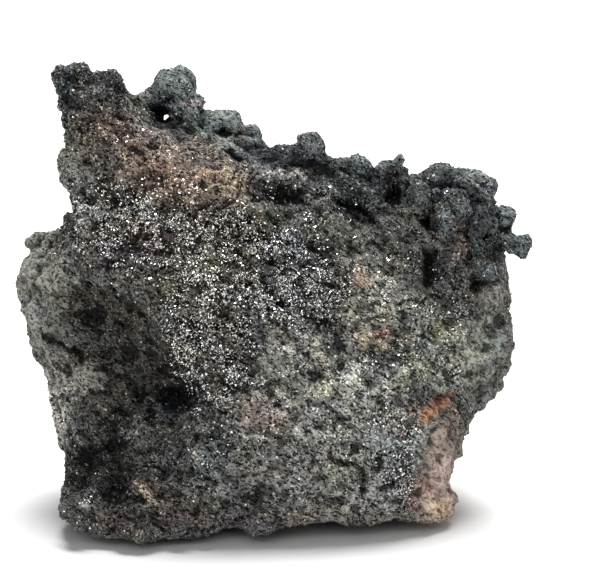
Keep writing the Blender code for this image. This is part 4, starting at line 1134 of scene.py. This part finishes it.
def strewGrains(mesh, shine, pitted):
    kind = strewn["grains"]
    _, _, behind = pictureOf(readPoints(mesh))
    weight = fadeOut(behind, *strewn["grainsOnFace"]) * offHollows(kind, pitted)
    weight *= 1 - strewn["grainsAmongCrystals"] * np.clip(shine, 0, 1)
    place, normal, pit, corners, faces, dice = lumpsOn(mesh, kind, weight, pitted)
    darkest, palest = strewnTint["darkest"], strewnTint["palest"]
    light = darkest + (palest - darkest) * dice.random(len(place)) ** strewnTint["skew"]
    stone = stoneColour(place)
    light **= contrastAt(place, stone)
    light *= 1 - strewnTint["underGlitter"] * np.clip(glitter(place), 0, 1)
    # painted shade and light on the grains: darker in pits and where they face down, paler on knobs and
    # where they face up
    light *= np.interp(pit, *strewnTint["paintedKnobLightAndPitShade"])
    light *= np.interp(normal[:, 2], *strewnTint["paintedLightFromAbove"])
    tint = stone * light[:, None]
    share, reach, ash = strewnTint["ash"]
    ash = linear(ash) * rockColours["lift"] * dice.random((len(place), 1))
    tint += np.maximum(ash - tint, 0) * (dice.random((len(place), 1)) < share) * reach
    return piecesOf("grains", corners, faces, "tintWithPaintedLight", tint)


def strewCrystals(mesh, shine, pitted):
    # each crystal's own polish, times some of the hue of the stone round it
    kind = strewn["crystals"]
    place, _, _, corners, faces, dice = lumpsOn(mesh, kind, shine * offHollows(kind, pitted), pitted)
    polish = np.interp(dice.random(len(place)), *strewnTint["polish"])
    hue = stoneColour(place)
    hue = 1 + strewnTint["stain"] * (hue / greyOf(hue)[:, None] - 1)
    return piecesOf("crystals", corners, faces, "tarnish", np.clip(hue * polish[:, None], 0, 1))


rock = meltedRock()
print("rock melted together:", len(rock.data.vertices), "points")
sculpt(rock.data)
carve(rock.data)
weather(rock.data)
thin(rock, form["triangles"])
rock.data.calc_loop_triangles()
print("rock sculpted:", len(rock.data.loop_triangles), "triangles")

stonePoints = readPoints(rock.data)
stone = stoneColour(stonePoints)
shine = glitter(stonePoints)
pitted = pittedness(rock.data)
# painted light from above on the stone: its tint paler where it faces up, darker where it faces down
paintedTopLightFactor = np.interp(readPoints(rock.data, "normal")[:, 2], *strewnTint["paintedLightFromAbove"])
setColour(rock.data, "tintWithPaintedLight", stone * paintedTopLightFactor[:, None])
setNumber(rock.data, "hollow", pitted)
setNumber(rock.data, "shine", shine)
setNumber(rock.data, "contrast", contrastAt(stonePoints, stone))
print("rock coloured")

grainPieces = strewGrains(rock.data, shine, pitted)
crystalPieces = strewCrystals(rock.data, shine, pitted)
writePoints(rock.data, toMetres(stonePoints))

# the finishes: each pattern's size is the millimetres from one of its streaks, specks or gaps to the
# next, and each lightens or darkens the stone: from this value to that, from this brightness to that
finish = {
    "fibre": (0.83333, {"Detail": 2, "Roughness": 0.7, "Lacunarity": 2.3, "Distortion": 0.8}),
    "specks": (0.43478, {"Detail": 1, "Roughness": 0.6}),
    "gaps": (1.11111, {"Detail": 3, "Roughness": 0.7}),
    "mottle": (2.85714, {"Detail": 2}),
    "dust": (0.33333, {"Detail": 2}),
    "grainLight": [("fibre", 0.3, 1.6, 0.5, 1.8), ("specks", 0.42, 0.5, 0.1, 1.2),
                   ("gaps", 0.36, 0.44, 0.5, 1.1), ("mottle", 0.3, 0.7, 0.8, 1.2)],
    # painted shade in pits and painted light on knobs, by how hollow each place is; and darker where
    # crystals sit thickly
    "hollowShadeAndGlitterGround": [("hollow", -0.5, 0.6, 1.35, 0.32), ("shine", 0, 1, 1, 0.15)],
    "dustLight": (0.3, 0.7, 0.6, 1.4),
    "speckRoughness": (0.3, 0.7, 0.95, 0.72),
    "drawn": -0.6,  # how much the patterns are drawn out along the flow
    "relief": (0.25, 0.00035, 1),  # how much of the fibre is in it, its height in metres, strength
    "dustRelief": (0.0001, 0.8),
    "grainRoughness": 0.85,
    "stoneIor": 1.55,
    "stoneSpecular": 0.15,
    "crystalRoughness": 0.2,
}


def fill(tree, node, **links):
    # a node's inputs, linked or filled in: by name, or by number as _0
    for name, value in links.items():
        socket = node.inputs[int(name[1:])] if name[0] == "_" else node.inputs[name.replace("_", " ")]
        if isinstance(value, bpy.types.NodeSocket):
            tree.links.new(value, socket)
        else:
            socket.default_value = value
    return node


def add(tree, kind, settings=None, **links):
    # one node with its settings and inputs
    node = tree.nodes.new("ShaderNode" + kind)
    for name, value in (settings or {}).items():
        setattr(node, name, value)
    return fill(tree, node, **links)


def newMaterial(name, **values):
    material = bpy.data.materials.new(name)
    material.use_nodes = True
    tree = material.node_tree
    return material, tree, fill(tree, tree.nodes["Principled BSDF"], **values)


def painted(tree, name, kind="Fac"):
    return add(tree, "Attribute", {"attribute_name": name}).outputs[kind]


def inMillimetres(tree):
    where = add(tree, "TexCoord")
    return add(tree, "Mapping", Vector=where.outputs["Object"], Scale=(1000, 1000, 1000)).outputs[0]


def noise(tree, name, place, **settings):
    size, shape = finish[name]
    return add(tree, "TexNoise", settings, Vector=place, Scale=1 / size, **shape).outputs["Fac"]


def mapped(tree, value, low, high, dark, pale):
    return add(tree, "MapRange", Value=value, _1=low, _2=high, _3=dark, _4=pale).outputs[0]


def combined(tree, operation, one, other):
    return add(tree, "Math", {"operation": operation}, _0=one, _1=other).outputs[0]


def dress(tree, surface, tint, light, height, distance, strength):
    # the tint times the light, and the relief
    colour = add(tree, "VectorMath", {"operation": "SCALE"}, _0=tint, Scale=light).outputs[0]
    bump = add(tree, "Bump", Height=height, Distance=distance, Strength=strength).outputs[0]
    fill(tree, surface, Base_Color=colour, Normal=bump)


def vesicularBasalt():
    # vesicular basalt: lava full of burst bubbles, its grains sintered together. Matt, with pale ashy
    # grain tops and near-black pores, and painted light on knobs and painted shade in pits
    material, tree, surface = newMaterial(
        "vesicularBasalt", IOR=finish["stoneIor"], Specular_IOR_Level=finish["stoneSpecular"]
    )
    place = inMillimetres(tree)
    # drawn out along the flow: the place less a share of its part along the flow
    run = Vector(texture["flow"])
    along = add(tree, "VectorMath", {"operation": "DOT_PRODUCT"}, _0=place, _1=run).outputs["Value"]
    drawn = add(
        tree, "VectorMath", {"operation": "MULTIPLY_ADD"}, _0=along, _1=run * finish["drawn"], _2=place
    ).outputs[0]
    fibre = noise(tree, "fibre", drawn, noise_type="RIDGED_MULTIFRACTAL")
    specks = noise(tree, "specks", drawn)
    values = {"fibre": fibre, "specks": specks, "gaps": noise(tree, "gaps", drawn),
              "mottle": noise(tree, "mottle", place), "hollow": painted(tree, "hollow"),
              "shine": painted(tree, "shine")}
    light = 1
    for name, *levels in finish["grainLight"]:
        light = combined(tree, "MULTIPLY", mapped(tree, values[name], *levels), light)
    light = combined(tree, "POWER", light, painted(tree, "contrast"))
    # painted shade in pits and painted light on knobs, by the hollow attribute
    for name, *levels in finish["hollowShadeAndGlitterGround"]:
        light = combined(tree, "MULTIPLY", mapped(tree, values[name], *levels), light)
    share, *depth = finish["relief"]
    relief = add(tree, "Math", {"operation": "MULTIPLY_ADD"}, _0=fibre, _1=share, _2=specks).outputs[0]
    dress(tree, surface, painted(tree, "tintWithPaintedLight", "Color"), light, relief, *depth)
    fill(tree, surface, Roughness=mapped(tree, specks, *finish["speckRoughness"]))
    return material


def basaltGrain():
    # single grains of the same basalt, dusted with ash
    material, tree, surface = newMaterial(
        "basaltGrain", IOR=finish["stoneIor"], Specular_IOR_Level=finish["stoneSpecular"],
        Roughness=finish["grainRoughness"],
    )
    dust = noise(tree, "dust", inMillimetres(tree))
    light = mapped(tree, dust, *finish["dustLight"])
    dress(tree, surface, painted(tree, "tintWithPaintedLight", "Color"), light, dust, *finish["dustRelief"])
    return material


def specularHematite():
    # specular hematite: iron oxide that hot gas has laid down as tiny mirror-bright, steel-grey crystals
    material, tree, surface = newMaterial(
        "specularHematite", Metallic=1, Roughness=finish["crystalRoughness"]
    )
    fill(tree, surface, Base_Color=painted(tree, "tarnish", "Color"))
    return material


rock.data.polygons.foreach_set("use_smooth", np.ones(len(rock.data.polygons), bool))
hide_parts("rock")
for pieces, material, slot in (
    ([rock], vesicularBasalt(), "basalt"),
    (grainPieces, basaltGrain(), "basalt"),
    (crystalPieces, specularHematite(), "hematite"),
):
    for piece in pieces:
        piece.data.materials.append(material)
        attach(piece, "root")
print("finishes applied")

# the studio: a pale matt floor, its reach in metres, and softboxes, wide so that the shadows are soft and
# many crystals mirror them: where each one shines from, its strength, and how many degrees across
studio = {
    "floor": "#fbfbfa",
    "floorRoughness": 0.7,
    "floorReach": {"side": 8, "front": -4, "back": 12},
    "lamps": {
        "above": ((0.07, 0.44, 1), 5.15, 40),
        "frontLeft": ((-0.5, -1, 0.7), 0.42, 40),
        "frontRight": ((0.3, -1, 0.75), 0.34, 40),
    },
    "surround": ("#f2f5f8", 0.21),
    "camera": {"sensor_width": 36, "lens": 150, "clip_end": 50},
}
side, front, back = studio["floorReach"].values()
floorCorners = [(-side, front, 0), (side, front, 0), (side, back, 0), (-side, back, 0)]
floorMesh = bpy.data.meshes.new("floor")
floorMesh.from_pydata(floorCorners, [], [(0, 1, 2, 3)])
floor = addObject("floor", floorMesh)
floorFinish, _, _ = newMaterial(
    "paleFloor", Base_Color=(*linear(studio["floor"]), 1), Roughness=studio["floorRoughness"]
)
floor.data.materials.append(floorFinish)


def aimed(data, name, place, target):
    thing = addObject(name, data)
    thing.location = place
    thing.rotation_mode = "QUATERNION"
    thing.rotation_quaternion = (Vector(target) - Vector(place)).to_track_quat("-Z", "Y")
    return thing


cameraData = bpy.data.cameras.new("camera")
for name, value in studio["camera"].items():
    setattr(cameraData, name, value)
eye, aim = (toMetres(seen(*layout["eyeAim"], behind)) for behind in (-layout["eyeDistance"], 0))
bpy.context.scene.camera = aimed(cameraData, "camera", eye, aim)
for name, (start, strength, width) in studio["lamps"].items():
    data = bpy.data.lights.new(name, "SUN")
    data.energy = strength
    data.angle = math.radians(width)
    aimed(data, name, start, (0, 0, 0))
world = bpy.data.worlds.new("studio")
bpy.context.scene.world = world
world.use_nodes = True
background = world.node_tree.nodes["Background"]
code, strength = studio["surround"]
background.inputs["Color"].default_value = (*linear(code), 1)
background.inputs["Strength"].default_value = strength
bpy.context.scene.view_settings.view_transform = "Standard"
print("lit")
